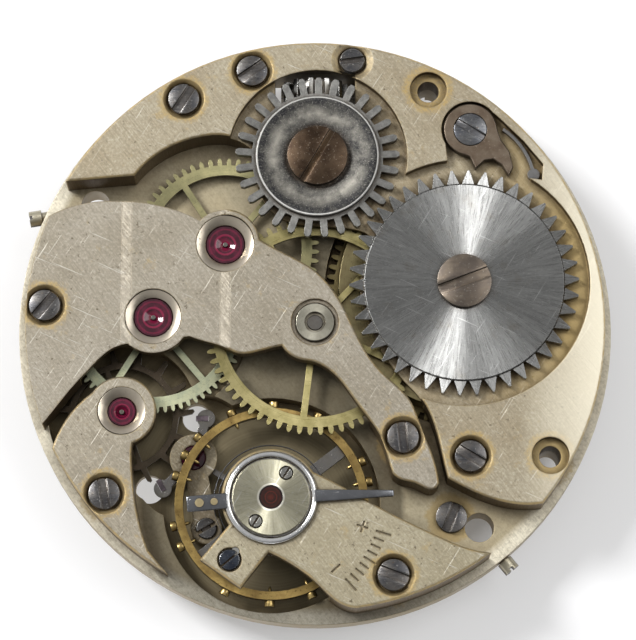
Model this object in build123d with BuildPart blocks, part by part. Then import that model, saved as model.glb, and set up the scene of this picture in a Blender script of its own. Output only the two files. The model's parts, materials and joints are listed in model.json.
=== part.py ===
from build123d import *
import os
from math import atan2, cos, degrees, hypot, radians, sin

# Mechanical watch movement with small seconds, seen from the bridge side.
# X runs right, Y runs towards the winding stem and Z runs up to the bridges.
# The origin is on the centre arbor, at the dial-side tip of the cannon pinion.

# Plate and bridges: radii and heights above the dial face
main_r = 11.85
dial_step = 0.25
dial_step_height = 0.35
bridge_ledge = 0.35
bridge_r = main_r - bridge_ledge
plate_thick = 1.50
bridge_under = 2.50
bridge_top = 3.10
hand_post = 1.25
dial_z = hand_post
overrun = 0.50

# Clearances
running_gap = 0.02
seat_gap = 0.01
body_gap = 0.06
recess_gap = 0.12

# Layout of the arbors, as shares of the plate's radius
barrel_share = (0.500, 0.138)
third_share = (-0.302, 0.272)
fourth_share = (-0.542, 0.022)
escape_share = (-0.646, -0.293)
pallet_share = (-0.408, -0.436)
balance_share = (-0.145, -0.597)
crown_share = (0.008, 0.570)
click_share = (0.525, 0.665)


def placed(share):
    """A point of the layout, in millimetres."""
    return (share[0] * main_r, share[1] * main_r)


def polar(centre, radius, angle):
    """The point at a radius and an angle in degrees from a centre."""
    turn = radians(angle)
    return (centre[0] + radius * cos(turn), centre[1] + radius * sin(turn))


def span(start, end):
    """The distance between two points."""
    return hypot(end[0] - start[0], end[1] - start[1])


def heading(start, end):
    """The direction from one point to another, in degrees."""
    return degrees(atan2(end[1] - start[1], end[0] - start[0]))


centre_at = (0.0, 0.0)
barrel_at = placed(barrel_share)
third_at = placed(third_share)
fourth_at = placed(fourth_share)
escape_at = placed(escape_share)
pallet_at = placed(pallet_share)
balance_at = placed(balance_share)
crown_at = placed(crown_share)
click_at = placed(click_share)

# Tooth counts
barrel_teeth = 80
centre_teeth, centre_leaves = 64, 12
third_teeth, third_leaves = 60, 8
fourth_teeth, fourth_leaves = 70, 8
escape_teeth, escape_leaves = 15, 7
ratchet_teeth, crown_teeth = 42, 29
winding_teeth, clutch_teeth = 13, 13
cannon_leaves, minute_teeth = 12, 36
minute_leaves, hour_teeth = 10, 40
setting_teeth = 23


def pitch_radius(own, other, distance):
    """Pitch radius of a wheel of own teeth at a centre distance from one of other teeth."""
    return distance * own / (own + other)


# Pitch radii follow from the layout
barrel_pitch_r = pitch_radius(barrel_teeth, centre_leaves, span(barrel_at, centre_at))
centre_pinion_r = pitch_radius(centre_leaves, barrel_teeth, span(barrel_at, centre_at))
centre_pitch_r = pitch_radius(centre_teeth, third_leaves, span(centre_at, third_at))
third_pinion_r = pitch_radius(third_leaves, centre_teeth, span(centre_at, third_at))
third_pitch_r = pitch_radius(third_teeth, fourth_leaves, span(third_at, fourth_at))
fourth_pinion_r = pitch_radius(fourth_leaves, third_teeth, span(third_at, fourth_at))
fourth_pitch_r = pitch_radius(fourth_teeth, escape_leaves, span(fourth_at, escape_at))
escape_pinion_r = pitch_radius(escape_leaves, fourth_teeth, span(fourth_at, escape_at))
ratchet_pitch_r = pitch_radius(ratchet_teeth, crown_teeth, span(barrel_at, crown_at))
crown_pitch_r = pitch_radius(crown_teeth, ratchet_teeth, span(barrel_at, crown_at))
stone_side = 30.0
escape_r = span(escape_at, pallet_at) * cos(radians(stone_side))
ratchet_tip_over, ratchet_tooth_depth = -0.02, 0.62
crown_tip_over, crown_tooth_depth = 0.12, 0.66
ratchet_tip_r = ratchet_pitch_r + ratchet_tip_over
crown_tip_r = crown_pitch_r + crown_tip_over

# Motion work below the dial face of the plate
motion_distance = 2.30
motion_angle = 112.0
minute_at = polar(centre_at, motion_distance, motion_angle)
cannon_pinion_r = pitch_radius(cannon_leaves, minute_teeth, motion_distance)
minute_pitch_r = pitch_radius(minute_teeth, cannon_leaves, motion_distance)
minute_pinion_r = pitch_radius(minute_leaves, hour_teeth, motion_distance)
hour_pitch_r = pitch_radius(hour_teeth, minute_leaves, motion_distance)
setting_pitch_r = minute_pitch_r * setting_teeth / minute_teeth
setting_distance = minute_pitch_r + setting_pitch_r
setting_rise = (setting_distance**2 - minute_at[0] ** 2) ** 0.5
setting_at = (0.0, minute_at[1] + setting_rise)

# Heights above the dial face, with each piece's thickness
barrel_rise, barrel_tooth_height, barrel_height = 0.68, 0.36, 1.42
barrel_floor, centre_floor = 0.60, 0.60
centre_wheel_rise, centre_wheel_thick = 2.20, 0.18
third_wheel_rise, third_wheel_thick = 1.86, 0.14
fourth_wheel_rise, fourth_wheel_thick = 1.56, 0.14
escape_rise, escape_thick = 0.95, 0.16
escapement_floor = 0.50
fourth_floor = 1.40
pallet_cock_rise, pallet_cock_thick = 1.22, 0.17
balance_rise, balance_thick = 1.55, 0.43
balance_arm_rise, balance_arm_thick = 1.66, 0.20
hairspring_rise, hairspring_tall = 2.38, 0.18
cock_under, cock_top = 2.80, 3.40
escape_cock_under, escape_cock_top = 1.95, 2.60
winding_floor, ratchet_rise, ratchet_thick = 2.70, 2.76, 0.36
crown_rise, crown_thick, crown_disc_thick = 2.76, 0.32, 0.52
motion_ceiling = 0.42
stem_rise = 1.45
block_top = 2.45

# Sub-part sizes
drum_step, drum_wall, lid_thick = 0.345, 0.22, 0.20
drum_r = barrel_pitch_r - drum_step
barrel_core_r, barrel_arbor_r, barrel_pivot_r = 1.10, 0.62, 0.45
rim_width, spoke_width, hub_r = 0.42, 0.26, 0.75
arbor_r, pivot_r = 0.20, 0.09
centre_arbor_r, centre_pivot_r, fourth_arbor_r = 0.59, 0.29, 0.29
balance_r, balance_rim_width, balance_screw_r = 3.83, 0.33, 0.20
balance_screw_out, balance_arm_width, balance_hub_r = 0.35, 0.52, 0.62
balance_cavity_r = 4.30
head_r, head_thick, shank_r, sink_r, sink_depth = 0.62, 0.26, 0.30, 0.84, 0.16
slot_width, slot_depth, edge_break = 0.15, 0.13, 0.04


def deck(rise):
    """The sketch plane at a height above the dial face."""
    return Plane.XY.offset(dial_z + rise)


def disc(centre, radius, low, high, mode=Mode.ADD):
    """A round layer between two heights above the dial face."""
    with BuildSketch(deck(low)) as layer:
        with Locations(centre):
            Circle(radius)
    extrude(layer.sketch, amount=high - low, mode=mode)


def plate_of(points, low, high, mode=Mode.ADD):
    """A flat layer with a straight-sided outline."""
    with BuildSketch(deck(low)) as layer:
        with BuildLine():
            Polyline(*points, close=True)
        make_face()
    extrude(layer.sketch, amount=high - low, mode=mode)


def tooth_points(centre, teeth, phase, stations):
    """Points round a toothed edge; a station is a radius and a share of the pitch."""
    pitch = 360 / teeth
    points = []
    for tooth in range(teeth):
        for radius, share in stations:
            points.append(polar(centre, radius, phase + (tooth + share) * pitch))
    return points


# Tooth shapes, as shares of the module or of the tooth's half width
root_deep_share, shoulder_high_share = 1.3, 0.45
shoulder_wide_share, tip_wide_share = 0.8, 0.3
wheel_share, wheel_foot_share = 0.46, 0.52
leaf_share, leaf_foot_share = 0.34, 0.30


def train_stations(pitch_r, teeth, tip_share, root_share):
    """Stations of a rounded train tooth, with its depth taken from the module."""
    module = 2 * pitch_r / teeth
    tip = pitch_r + module
    root = pitch_r - root_deep_share * module
    shoulder = pitch_r + shoulder_high_share * module
    half = tip_share / 2
    foot = root_share / 2
    right = [
        (tip, tip_wide_share * half), (shoulder, shoulder_wide_share * half), (pitch_r, half), (root, foot),
    ]
    left = [(radius, -share) for radius, share in reversed(right)]
    return left + right


def wheel_points(centre, pitch_r, teeth, phase):
    """The toothed outline of a wheel."""
    return tooth_points(centre, teeth, phase, train_stations(pitch_r, teeth, wheel_share, wheel_foot_share))


def spoked_wheel(centre, pitch_r, teeth, phase, rise, thick, bore_r, spokes, spoke_angle):
    """A train wheel with crossings."""
    window_r = pitch_r - rim_width - root_deep_share * 2 * pitch_r / teeth
    with BuildSketch(deck(rise)) as layer:
        with BuildLine():
            Polyline(*wheel_points(centre, pitch_r, teeth, phase), close=True)
        make_face()
        with Locations(centre):
            Circle(window_r, mode=Mode.SUBTRACT)
            Circle(hub_r)
            with PolarLocations(window_r / 2, spokes, spoke_angle):
                Rectangle(window_r + rim_width, spoke_width)
            Circle(bore_r, mode=Mode.SUBTRACT)
    extrude(layer.sketch, amount=thick)


def leaves(centre, pitch_r, count, phase, low, high):
    """The leaves of a pinion."""
    stations = train_stations(pitch_r, count, leaf_share, leaf_foot_share)
    plate_of(tooth_points(centre, count, phase, stations), low, high)


def mesh_phase(own_phase, own_teeth, other_teeth, direction):
    """Phase of the wheel that meshes with another one in a direction from it."""
    pitch = 360 / own_teeth
    offset = (direction - own_phase + pitch / 2) % pitch - pitch / 2
    return direction + 180 + offset * own_teeth / other_teeth + 180 / other_teeth


def slotted_head(centre, radius, low, high, angle, slot=slot_width, depth=slot_depth):
    """A screw head with a broken edge and a slot."""
    with BuildPart(mode=Mode.PRIVATE) as head:
        disc(centre, radius, low, high)
        chamfer(head.edges().group_by(Axis.Z)[-1], edge_break)
        with BuildSketch(deck(high - depth)) as groove:
            with Locations(Location((centre[0], centre[1], 0), (0, 0, angle))):
                Rectangle(2 * radius + overrun, slot)
        extrude(groove.sketch, amount=depth + overrun, mode=Mode.SUBTRACT)
    add(head.part)


def screw(centre, top, angle, length, radius=head_r, thick=head_thick, shank=shank_r, slot=slot_width):
    """A slotted screw whose head ends at a height above the dial face."""
    slotted_head(centre, radius, top - thick, top, angle, slot)
    disc(centre, shank, top - length, top - thick)


def bored(centre, radius, low, high):
    """A round hole between two heights."""
    disc(centre, radius, low, high, mode=Mode.SUBTRACT)


def screw_seat(centre, top, radius=head_r, thick=head_thick, shank=shank_r):
    """Countersunk seat and hole of a screw that ends just above the face."""
    bored(centre, shank + running_gap, top - bridge_top, top + overrun)
    bored(centre, radius + body_gap, top - thick, top + overrun)
    with Locations((centre[0], centre[1], dial_z + top - sink_depth / 2)):
        Cone(radius + body_gap, sink_r, sink_depth, mode=Mode.SUBTRACT)


def jewel(centre, radius, low, high, hole_r, cup_r):
    """A pierced jewel with an oil cup on its upper face."""
    with BuildPart(mode=Mode.PRIVATE) as stone:
        disc(centre, radius, low, high)
        chamfer(stone.edges().group_by(Axis.Z)[-1], edge_break)
        bored(centre, hole_r, low - overrun, high + overrun)
        cup_depth = (high - low) / 2
        with Locations((centre[0], centre[1], dial_z + high - cup_depth / 2)):
            Cone(hole_r, cup_r, cup_depth, mode=Mode.SUBTRACT)
    add(stone.part)


def smooth_outline(runs, scale=main_r):
    """The lines and curves of an outline given by runs of shares of a radius."""
    for run in runs:
        points = [(x * scale, y * scale) for x, y in run]
        if len(points) == 2:
            Line(*points)
        else:
            Spline(*points)


def rim_share(angle):
    """A point on the bridges' outer circle, as a share of the plate's radius."""
    return polar((0.0, 0.0), bridge_r / main_r, angle)


def bridge_sketch(runs, low, rim_angle, bosses=()):
    """The outline of a bridge: its runs, an arc of the rim and round bosses."""
    with BuildSketch(deck(low)) as layer:
        with BuildLine():
            smooth_outline(runs)
            first = runs[0][0]
            last = runs[-1][-1]
            ThreePointArc((last[0] * main_r, last[1] * main_r), polar(centre_at, bridge_r, rim_angle),
                          (first[0] * main_r, first[1] * main_r))
        make_face()
        for place, radius in bosses:
            with Locations(place):
                Circle(radius)
    return layer.sketch


# Outlines of the bridges, as shares of the plate's radius
barrel_bridge_shares = [
    [rim_share(150), (-0.609, 0.505)],
    [(-0.609, 0.505), (-0.521, 0.588), (-0.405, 0.637), (-0.289, 0.643), (-0.219, 0.608)],
    [(-0.219, 0.608), (-0.194, 0.473), (-0.127, 0.371), (0.0, 0.338), (0.118, 0.329)],
    [(0.118, 0.329), (0.194, 0.278), (0.160, 0.186), (0.169, 0.034), (0.228, -0.101), (0.331, -0.230)],
    [(0.331, -0.230), (0.386, -0.319), (0.413, -0.409), (0.440, -0.527)],
    [(0.440, -0.527), (0.522, -0.570), (0.617, -0.604), rim_share(-39)],
]
train_bridge_shares = [
    [rim_share(157.7), (-0.852, 0.391), (-0.735, 0.419), (-0.635, 0.419), (-0.551, 0.408), (-0.451, 0.381),
     (-0.385, 0.350)],
    [(-0.385, 0.350), (-0.197, 0.291)],
    [(-0.197, 0.291), (-0.084, 0.228), (0.0, 0.177), (0.077, 0.085), (0.117, 0.007), (0.167, -0.095),
     (0.234, -0.181), (0.317, -0.265), (0.351, -0.350), (0.391, -0.452), (0.411, -0.544)],
    [(0.411, -0.544), (0.384, -0.565), (0.334, -0.544), (0.284, -0.531), (0.257, -0.511)],
    [(0.257, -0.511), (0.244, -0.469), (0.224, -0.402), (0.184, -0.333), (0.133, -0.265), (0.084, -0.197),
     (0.024, -0.146), (-0.037, -0.129)],
    [(-0.037, -0.129), (-0.070, -0.118), (-0.111, -0.080)],
    [(-0.111, -0.080), (-0.181, -0.097), (-0.262, -0.104), (-0.302, -0.084), (-0.371, -0.062),
     (-0.419, -0.046)],
    [(-0.419, -0.046), (-0.644, -0.073)],
    [(-0.644, -0.073), (-0.685, -0.090), (-0.746, -0.146), (-0.814, -0.222), (-0.862, -0.284),
     rim_share(200.7)],
]
escape_cock_shares = [
    [rim_share(239.8), (-0.552, -0.762)],
    [(-0.552, -0.762), (-0.578, -0.684), (-0.599, -0.580), (-0.609, -0.475), (-0.606, -0.398),
     (-0.590, -0.365)],
    [(-0.590, -0.365), escape_share],
    [escape_share, (-0.722, -0.215)],
    [(-0.722, -0.215), (-0.770, -0.251), (-0.839, -0.335), rim_share(205.6)],
]
balance_cock_shares = [
    [rim_share(-82.0), (0.065, -0.934), (0.003, -0.875), (-0.070, -0.820), (-0.152, -0.776)],
    [(-0.152, -0.776), (-0.245, -0.895)],
    [(-0.245, -0.895), (-0.378, -0.801)],
    [(-0.378, -0.801), (-0.268, -0.668)],
    [(-0.268, -0.668), balance_share],
    [balance_share, (-0.055, -0.490)],
    [(-0.055, -0.490), (0.020, -0.522), (0.262, -0.654), (0.384, -0.713), (0.494, -0.761), rim_share(-53.3)],
]
third_boss_r, fourth_boss_r, escape_boss_r, cock_head_r = 1.38, 1.48, 1.38, 1.95

# A point of the rim inside each bridge's own stretch of it, in degrees
barrel_rim, train_rim, escape_rim_at, cock_rim = 55, 180, 222, -68

# Screws: place as shares, height of the top of the head, direction of the slot
bridge_screw_shares = [
    ((-0.445, 0.772), 58), ((-0.214, 0.871), 36), ((0.516, -0.453), -31),
    ((-0.906, 0.062), 51), ((0.292, -0.389), 96), ((-0.700, -0.572), -80), ((0.258, -0.852), -21),
]
screw_proud = 0.03
train_left_top, train_middle_top = 2.86, 2.98
bridge_screw_tops = [bridge_top, bridge_top, bridge_top, train_left_top, bridge_top, escape_cock_top,
                     cock_top]
plate_screw_share = (0.455, -0.640)
detent_share = (0.126, 0.907)
case_hole_shares = [(0.384, 0.804), (0.781, -0.451)]
foot_hole_shares = [(-0.747, 0.435), (0.549, -0.673)]
sight_hole_shares = [(-0.557, -0.532), (-0.401, -0.287)]
pallet_foot_share = (-0.363, -0.675)
stud_share = (-0.281, -0.802)

case_hole_r, case_sink_r, case_sink_depth = 0.43, 0.74, 0.35
foot_hole_r, sight_hole_r = 0.58, 0.57
screw_length = 1.60
detent_head_r, detent_shank_r = 0.50, 0.22

# Stem opening and the recesses of the keyless works
stem_r, pilot_r = 0.50, 0.28
block_half, block_depth = 2.05, 6.65
block_foot = main_r - block_depth
winding_half, winding_room, winding_before = 1.62, 1.50, 1.07
winding_low = crown_at[1] + crown_pitch_r - winding_before
winding_high = winding_low + winding_room
winding_tip_r, winding_root_r, winding_thick, winding_end_gap = 1.38, 1.08, 1.10, 0.17
pinion_start = winding_low + winding_end_gap
clutch_half, clutch_room = 1.12, 2.85
clutch_low = winding_low - clutch_room
clutch_r, clutch_groove_r, clutch_thick, clutch_groove = 1.00, 0.58, 1.80, 0.50
clutch_rest_gap, groove_from_end = 0.14, 0.47
clutch_start = pinion_start - clutch_rest_gap - clutch_thick
groove_middle = clutch_start + groove_from_end
keyless_margin, keyless_half = 0.40, 4.50
keyless_low = block_foot - keyless_margin

# Train positions at rest: each pair has a tooth of one in a gap of the other
barrel_phase = heading(barrel_at, centre_at)
centre_pinion_phase = mesh_phase(barrel_phase, barrel_teeth, centre_leaves, heading(barrel_at, centre_at))
centre_phase = heading(centre_at, third_at)
third_pinion_phase = mesh_phase(centre_phase, centre_teeth, third_leaves, heading(centre_at, third_at))
third_phase = heading(third_at, fourth_at)
fourth_pinion_phase = mesh_phase(third_phase, third_teeth, fourth_leaves, heading(third_at, fourth_at))
fourth_phase = heading(fourth_at, escape_at)
escape_pinion_phase = mesh_phase(fourth_phase, fourth_teeth, escape_leaves, heading(fourth_at, escape_at))
ratchet_phase = heading(barrel_at, crown_at)
crown_phase = mesh_phase(ratchet_phase, ratchet_teeth, crown_teeth, heading(barrel_at, crown_at))
cannon_phase = heading(centre_at, minute_at)
minute_phase = mesh_phase(cannon_phase, cannon_leaves, minute_teeth, heading(centre_at, minute_at))
hour_phase = heading(centre_at, minute_at)
minute_leaf_phase = mesh_phase(hour_phase, hour_teeth, minute_leaves, heading(centre_at, minute_at))
setting_phase = mesh_phase(minute_phase, minute_teeth, setting_teeth, heading(minute_at, setting_at))

# Main plate
barrel_pocket_r = barrel_pitch_r + 2 * barrel_pitch_r / barrel_teeth + body_gap
drum_pocket_r = drum_r + recess_gap
centre_pocket_r = 1.08
centre_swing_r = centre_pitch_r + 2 * centre_pitch_r / centre_teeth + recess_gap
third_swing_r = third_pitch_r + 2 * third_pitch_r / third_teeth + recess_gap
fourth_swing_r = fourth_pitch_r + 2 * fourth_pitch_r / fourth_teeth + recess_gap
escape_swing_r = escape_r + recess_gap
pallet_swing_r = 2.60
train_jewel_r, escape_jewel_r, small_jewel_r = 0.79, 0.58, 0.50
lower_jewel_thick, lower_jewel_rise, fourth_jewel_rise = 0.28, 0.90, 0.80
lower_jewel_low, lower_jewel_gap = 0.16, 0.06
lower_cap_r, lower_cap_thick = 1.00, 0.20
escape_jewel_top, upper_jewel_top = 2.32, 3.22
stud_radius, stud_angle, stud_r = 2.52, 236.6, 0.16
cap_head_thick = 0.12
cap_plate_r, cap_plate_thick, cap_jewel_r = 1.53, 0.22, 0.46
motion_gap = 0.22
motion_pockets = [
    (centre_at, hour_pitch_r + motion_gap),
    (minute_at, minute_pitch_r + motion_gap),
    (setting_at, setting_pitch_r + motion_gap),
]
block_points = [(-block_half, block_foot), (block_half, block_foot), (block_half, main_r),
                (-block_half, main_r)]

# Motion work, keyless works and small places
cannon_seat_r, cannon_seat_len, cannon_pipe_r, cannon_bore_r = 0.42, 0.50, 0.58, 0.25
cannon_leaf_rise, cannon_leaf_top = 0.20, 0.40
hour_pipe_len, hour_pipe_r = 0.65, 0.75
hour_rise, hour_thick = 0.04, 0.12
minute_rise, minute_thick, minute_leaf_rise = 0.24, 0.10, 0.03
setting_rise_up, setting_thick = 0.24, 0.14
post_r, post_end = 0.20, 0.02
lever_rise, lever_thick = 0.24, 0.16
cover_rise, cover_thick = 0.10, 0.10
yoke_side, yoke_reach, finger_width, finger_deep, finger_height = 3.30, 2.50, 0.50, 0.30, 0.80
yoke_at = (yoke_side, groove_middle)
small_head_r, small_shank_r, small_head_thick = 0.42, 0.18, 0.10
cover_screw_side, cover_screw_drop, cover_screw_past = 2.45, 1.50, 0.65
cover_screw_spots = [(-cover_screw_side, yoke_at[1] - cover_screw_drop),
                     (yoke_at[0] + cover_screw_past, yoke_at[1] - cover_screw_drop)]
seconds_post_r, seconds_post_len = 0.125, 0.95
banking_reach, banking_side, banking_r = 2.00, 0.39, 0.08
keyless_r = bridge_r - dial_step
foot_screw_rise, foot_screw_r, foot_head_r, foot_head_len = 0.80, 0.22, 0.32, 0.50
foot_screw_near = 0.70
foot_screw_turns = [189.5, -50.8]
foot_screw_reaches = [2.25, 1.60]
foot_screws = list(zip(foot_hole_shares, foot_screw_turns, foot_screw_reaches))
fork_heading = heading(pallet_at, balance_at)


def side_bar(start, direction, radius, near, far, rise, mode=Mode.ADD):
    """A round bar that lies level, from one distance to another from its start."""
    near_point = polar(start, near, direction)
    end_plane = Plane(origin=(near_point[0], near_point[1], dial_z + rise),
                      z_dir=(cos(radians(direction)), sin(radians(direction)), 0))
    with BuildSketch(end_plane) as end:
        Circle(radius)
    extrude(end.sketch, amount=far - near, mode=mode)


def banking_spots():
    """The two pins that stop the pallet fork."""
    middle = polar(pallet_at, banking_reach, fork_heading)
    return [polar(middle, banking_side, fork_heading + side) for side in (90, -90)]


with BuildPart() as main_plate:
    disc(centre_at, main_r - dial_step, 0, dial_step_height)
    disc(centre_at, main_r, dial_step_height, plate_thick)
    with BuildSketch(deck(plate_thick)) as block:
        with BuildLine():
            Polyline(*block_points, close=True)
        make_face()
        Circle(bridge_r - body_gap, mode=Mode.INTERSECT)
        Circle(centre_swing_r, mode=Mode.SUBTRACT)
        with Locations(third_at):
            Circle(third_swing_r, mode=Mode.SUBTRACT)
    extrude(block.sketch, amount=block_top - plate_thick)
    bored(barrel_at, barrel_pocket_r, barrel_floor, bridge_top)
    bored(centre_at, centre_pocket_r, centre_floor, bridge_top)
    bored(fourth_at, fourth_swing_r, fourth_floor, bridge_top)
    bored(escape_at, escape_swing_r, escapement_floor, bridge_top)
    bored(balance_at, balance_cavity_r, escapement_floor, bridge_top)
    bored(pallet_at, pallet_swing_r, escapement_floor, bridge_top)
    for pocket_at, pocket_r in motion_pockets:
        bored(pocket_at, pocket_r, -overrun, motion_ceiling)
    with BuildSketch(deck(-overrun)) as keyless:
        with BuildLine():
            Polyline((-keyless_half, keyless_low), (keyless_half, keyless_low), (keyless_half, main_r),
                     (-keyless_half, main_r), close=True)
        make_face()
        Circle(keyless_r, mode=Mode.INTERSECT)
    extrude(keyless.sketch, amount=motion_ceiling + overrun, mode=Mode.SUBTRACT)
    with BuildSketch(deck(-overrun)) as slots:
        with Locations((0, (winding_low + winding_high) / 2)):
            Rectangle(2 * winding_half, winding_high - winding_low)
        with Locations((0, (clutch_low + winding_low) / 2)):
            Rectangle(2 * clutch_half, winding_low - clutch_low + seat_gap)
    extrude(slots.sketch, amount=bridge_top + overrun, mode=Mode.SUBTRACT)
    side_bar((0.0, 0.0), 90, stem_r, winding_low, main_r + overrun, stem_rise, Mode.SUBTRACT)
    side_bar((0.0, 0.0), 90, pilot_r, block_foot - overrun, winding_low, stem_rise, Mode.SUBTRACT)
    for spot, slot_turn in bridge_screw_shares:
        bored(placed(spot), shank_r + running_gap, escapement_floor, bridge_top)
    bored(placed(plate_screw_share), shank_r + running_gap, escapement_floor, bridge_top)
    bored(placed(detent_share), detent_shank_r + running_gap, 0, bridge_top)
    for spot in case_hole_shares:
        bored(placed(spot), case_hole_r, -overrun, bridge_top)
    for spot in foot_hole_shares:
        bored(placed(spot), foot_hole_r, -overrun, bridge_top)
    for spot in sight_hole_shares:
        bored(placed(spot), sight_hole_r, -overrun, bridge_top)
    for spot, direction, head_start in foot_screws:
        side_bar(placed(spot), direction, foot_screw_r + running_gap, 0, head_start + overrun,
                 foot_screw_rise, Mode.SUBTRACT)
    disc(placed(pallet_foot_share), head_r, escapement_floor, pallet_cock_rise)
    bored(placed(pallet_foot_share), small_shank_r + running_gap, escapement_floor, pallet_cock_rise)
    bored(third_at, train_jewel_r, lower_jewel_rise, bridge_top)
    bored(fourth_at, escape_jewel_r, fourth_jewel_rise, bridge_top)
    bored(third_at, arbor_r, -overrun, bridge_top)
    bored(fourth_at, fourth_arbor_r + body_gap, -overrun, bridge_top)
    for jewel_at in (escape_at, pallet_at):
        bored(jewel_at, small_jewel_r, lower_jewel_low, escapement_floor)
        bored(jewel_at, arbor_r, -overrun, escapement_floor)
    bored(balance_at, small_jewel_r, -overrun, escapement_floor)
    bored(balance_at, lower_cap_r, -overrun, lower_cap_thick)
    bored(centre_at, centre_arbor_r + running_gap, 0, centre_floor)
    bored(barrel_at, barrel_pivot_r + running_gap, -overrun, barrel_floor)
    for post_at in (minute_at, setting_at, yoke_at):
        disc(post_at, post_r, post_end, motion_ceiling)
    for spot in cover_screw_spots:
        disc(spot, small_head_r, cover_rise + cover_thick, motion_ceiling)
        bored(spot, small_shank_r + running_gap, -overrun, plate_thick / 2)
    for spot in banking_spots():
        disc(spot, banking_r, escapement_floor, pallet_cock_rise - body_gap)
main_plate.part.label = "main_plate"

# Bridges and cocks
bridge_edge, ratchet_room, crown_room, click_room = 0.07, 0.43, 0.31, 0.09
recess_r = ratchet_tip_r + ratchet_room
crown_recess_r = crown_tip_r + crown_room
click_r, crown_boss_r, crown_boss_top = 1.07, 0.90, 3.16
click_relief_shares = [(0.440, 0.620), (0.450, 0.530), (0.765, 0.490), (0.770, 0.545), (0.705, 0.625),
                       (0.625, 0.705), (0.585, 0.740), (0.500, 0.740)]


def top_edges(part):
    """The edges round the highest flat face."""
    return part.faces().filter_by(Axis.Z).sort_by(Axis.Z)[-1].outer_wire().edges()


with BuildPart() as barrel_bridge:
    extrude(bridge_sketch(barrel_bridge_shares, plate_thick, barrel_rim), amount=bridge_top - plate_thick)
    chamfer(top_edges(barrel_bridge.part), bridge_edge)
    bored(barrel_at, drum_pocket_r, plate_thick, bridge_under)
    bored(centre_at, centre_swing_r, plate_thick, bridge_under)
    bored(third_at, third_swing_r, plate_thick, bridge_under)
    with BuildSketch(deck(plate_thick)) as block_room:
        with Locations((0, (main_r + block_foot) / 2)):
            Rectangle(2 * (block_half + seat_gap), block_depth + 2 * body_gap)
    extrude(block_room.sketch, amount=block_top + seat_gap - plate_thick, mode=Mode.SUBTRACT)
    bored(crown_at, crown_recess_r, winding_floor, bridge_top)
    bored(barrel_at, recess_r, winding_floor, bridge_top)
    bored(click_at, click_r + click_room, winding_floor, bridge_top)
    plate_of([placed(share) for share in click_relief_shares], winding_floor, bridge_top, Mode.SUBTRACT)
    with BuildSketch(deck(plate_thick)) as pinion_room:
        with Locations((0, (winding_low + winding_high) / 2)):
            Rectangle(2 * winding_half, winding_high - winding_low)
    extrude(pinion_room.sketch, amount=bridge_under + overrun - plate_thick, mode=Mode.SUBTRACT)
    disc(crown_at, crown_boss_r, winding_floor, crown_boss_top)
    bored(crown_at, shank_r + running_gap, bridge_under - overrun, crown_boss_top)
    bored(barrel_at, barrel_arbor_r, bridge_under, winding_floor)
    bored(click_at, shank_r + running_gap, plate_thick + overrun, winding_floor)
    for (spot, slot_turn), top in list(zip(bridge_screw_shares, bridge_screw_tops))[:3]:
        screw_seat(placed(spot), top)
    screw_seat(placed(detent_share), bridge_top, detent_head_r, head_thick, detent_shank_r)
    for spot in case_hole_shares:
        bored(placed(spot), case_hole_r, plate_thick, bridge_top)
        bored(placed(spot), case_sink_r, bridge_top - case_sink_depth, bridge_top)
barrel_bridge.part.label = "barrel_bridge"

ramp_run, left_ramp_x, middle_ramp_x = 0.40, -7.30, -3.36
sink_floor, train_sink_r, fourth_sink_r, escape_sink_r = 2.72, 1.16, 1.12, 0.96
bush_r, bush_groove_r, bush_groove_depth = 0.79, 0.95, 0.12
train_low_x = -main_r - overrun
level_points = [
    (train_low_x, dial_z + train_left_top), (left_ramp_x - ramp_run, dial_z + train_left_top),
    (left_ramp_x, dial_z + train_middle_top), (middle_ramp_x - ramp_run, dial_z + train_middle_top),
    (middle_ramp_x, dial_z + bridge_top), (middle_ramp_x, dial_z + bridge_top + overrun),
    (train_low_x, dial_z + bridge_top + overrun),
]

with BuildPart() as train_bridge:
    extrude(bridge_sketch(train_bridge_shares, plate_thick, train_rim,
                          [(third_at, third_boss_r), (fourth_at, fourth_boss_r)]),
            amount=bridge_top - plate_thick)
    chamfer(top_edges(train_bridge.part), bridge_edge)
    with BuildSketch(Plane.XZ.offset(-main_r)) as levels:
        with BuildLine():
            Polyline(*level_points, close=True)
        make_face()
    extrude(levels.sketch, amount=2 * main_r, mode=Mode.SUBTRACT)
    bored(centre_at, centre_swing_r, plate_thick, bridge_under)
    bored(third_at, third_swing_r, plate_thick, bridge_under)
    bored(fourth_at, fourth_swing_r, plate_thick, bridge_under)
    bored(balance_at, balance_cavity_r + recess_gap, plate_thick, bridge_under)
    bored(barrel_at, drum_pocket_r, plate_thick, bridge_under)
    bored(third_at, train_jewel_r + seat_gap, bridge_under, bridge_top)
    bored(third_at, train_sink_r, sink_floor, bridge_top)
    bored(fourth_at, train_jewel_r + seat_gap, bridge_under, bridge_top)
    bored(fourth_at, fourth_sink_r, sink_floor, bridge_top)
    bored(centre_at, bush_r, bridge_under, bridge_top)
    bored(centre_at, bush_groove_r, bridge_top - bush_groove_depth, bridge_top)
    for (spot, slot_turn), top in list(zip(bridge_screw_shares, bridge_screw_tops))[3:5]:
        screw_seat(placed(spot), top)
train_bridge.part.label = "train_bridge"

with BuildPart() as escape_cock:
    extrude(bridge_sketch(escape_cock_shares, plate_thick, escape_rim_at, [(escape_at, escape_boss_r)]),
            amount=escape_cock_top - plate_thick)
    chamfer(top_edges(escape_cock.part), bridge_edge)
    bored(fourth_at, fourth_swing_r, plate_thick, escape_cock_under)
    bored(escape_at, escape_boss_r + recess_gap, plate_thick, escape_cock_under)
    bored(balance_at, balance_cavity_r + recess_gap, plate_thick, escape_cock_under)
    bored(escape_at, escape_jewel_r + seat_gap, escape_cock_under, escape_cock_top)
    bored(escape_at, escape_sink_r, escape_jewel_top, escape_cock_top)
    screw_seat(placed(bridge_screw_shares[5][0]), escape_cock_top)
escape_cock.part.label = "escape_cock"

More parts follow.
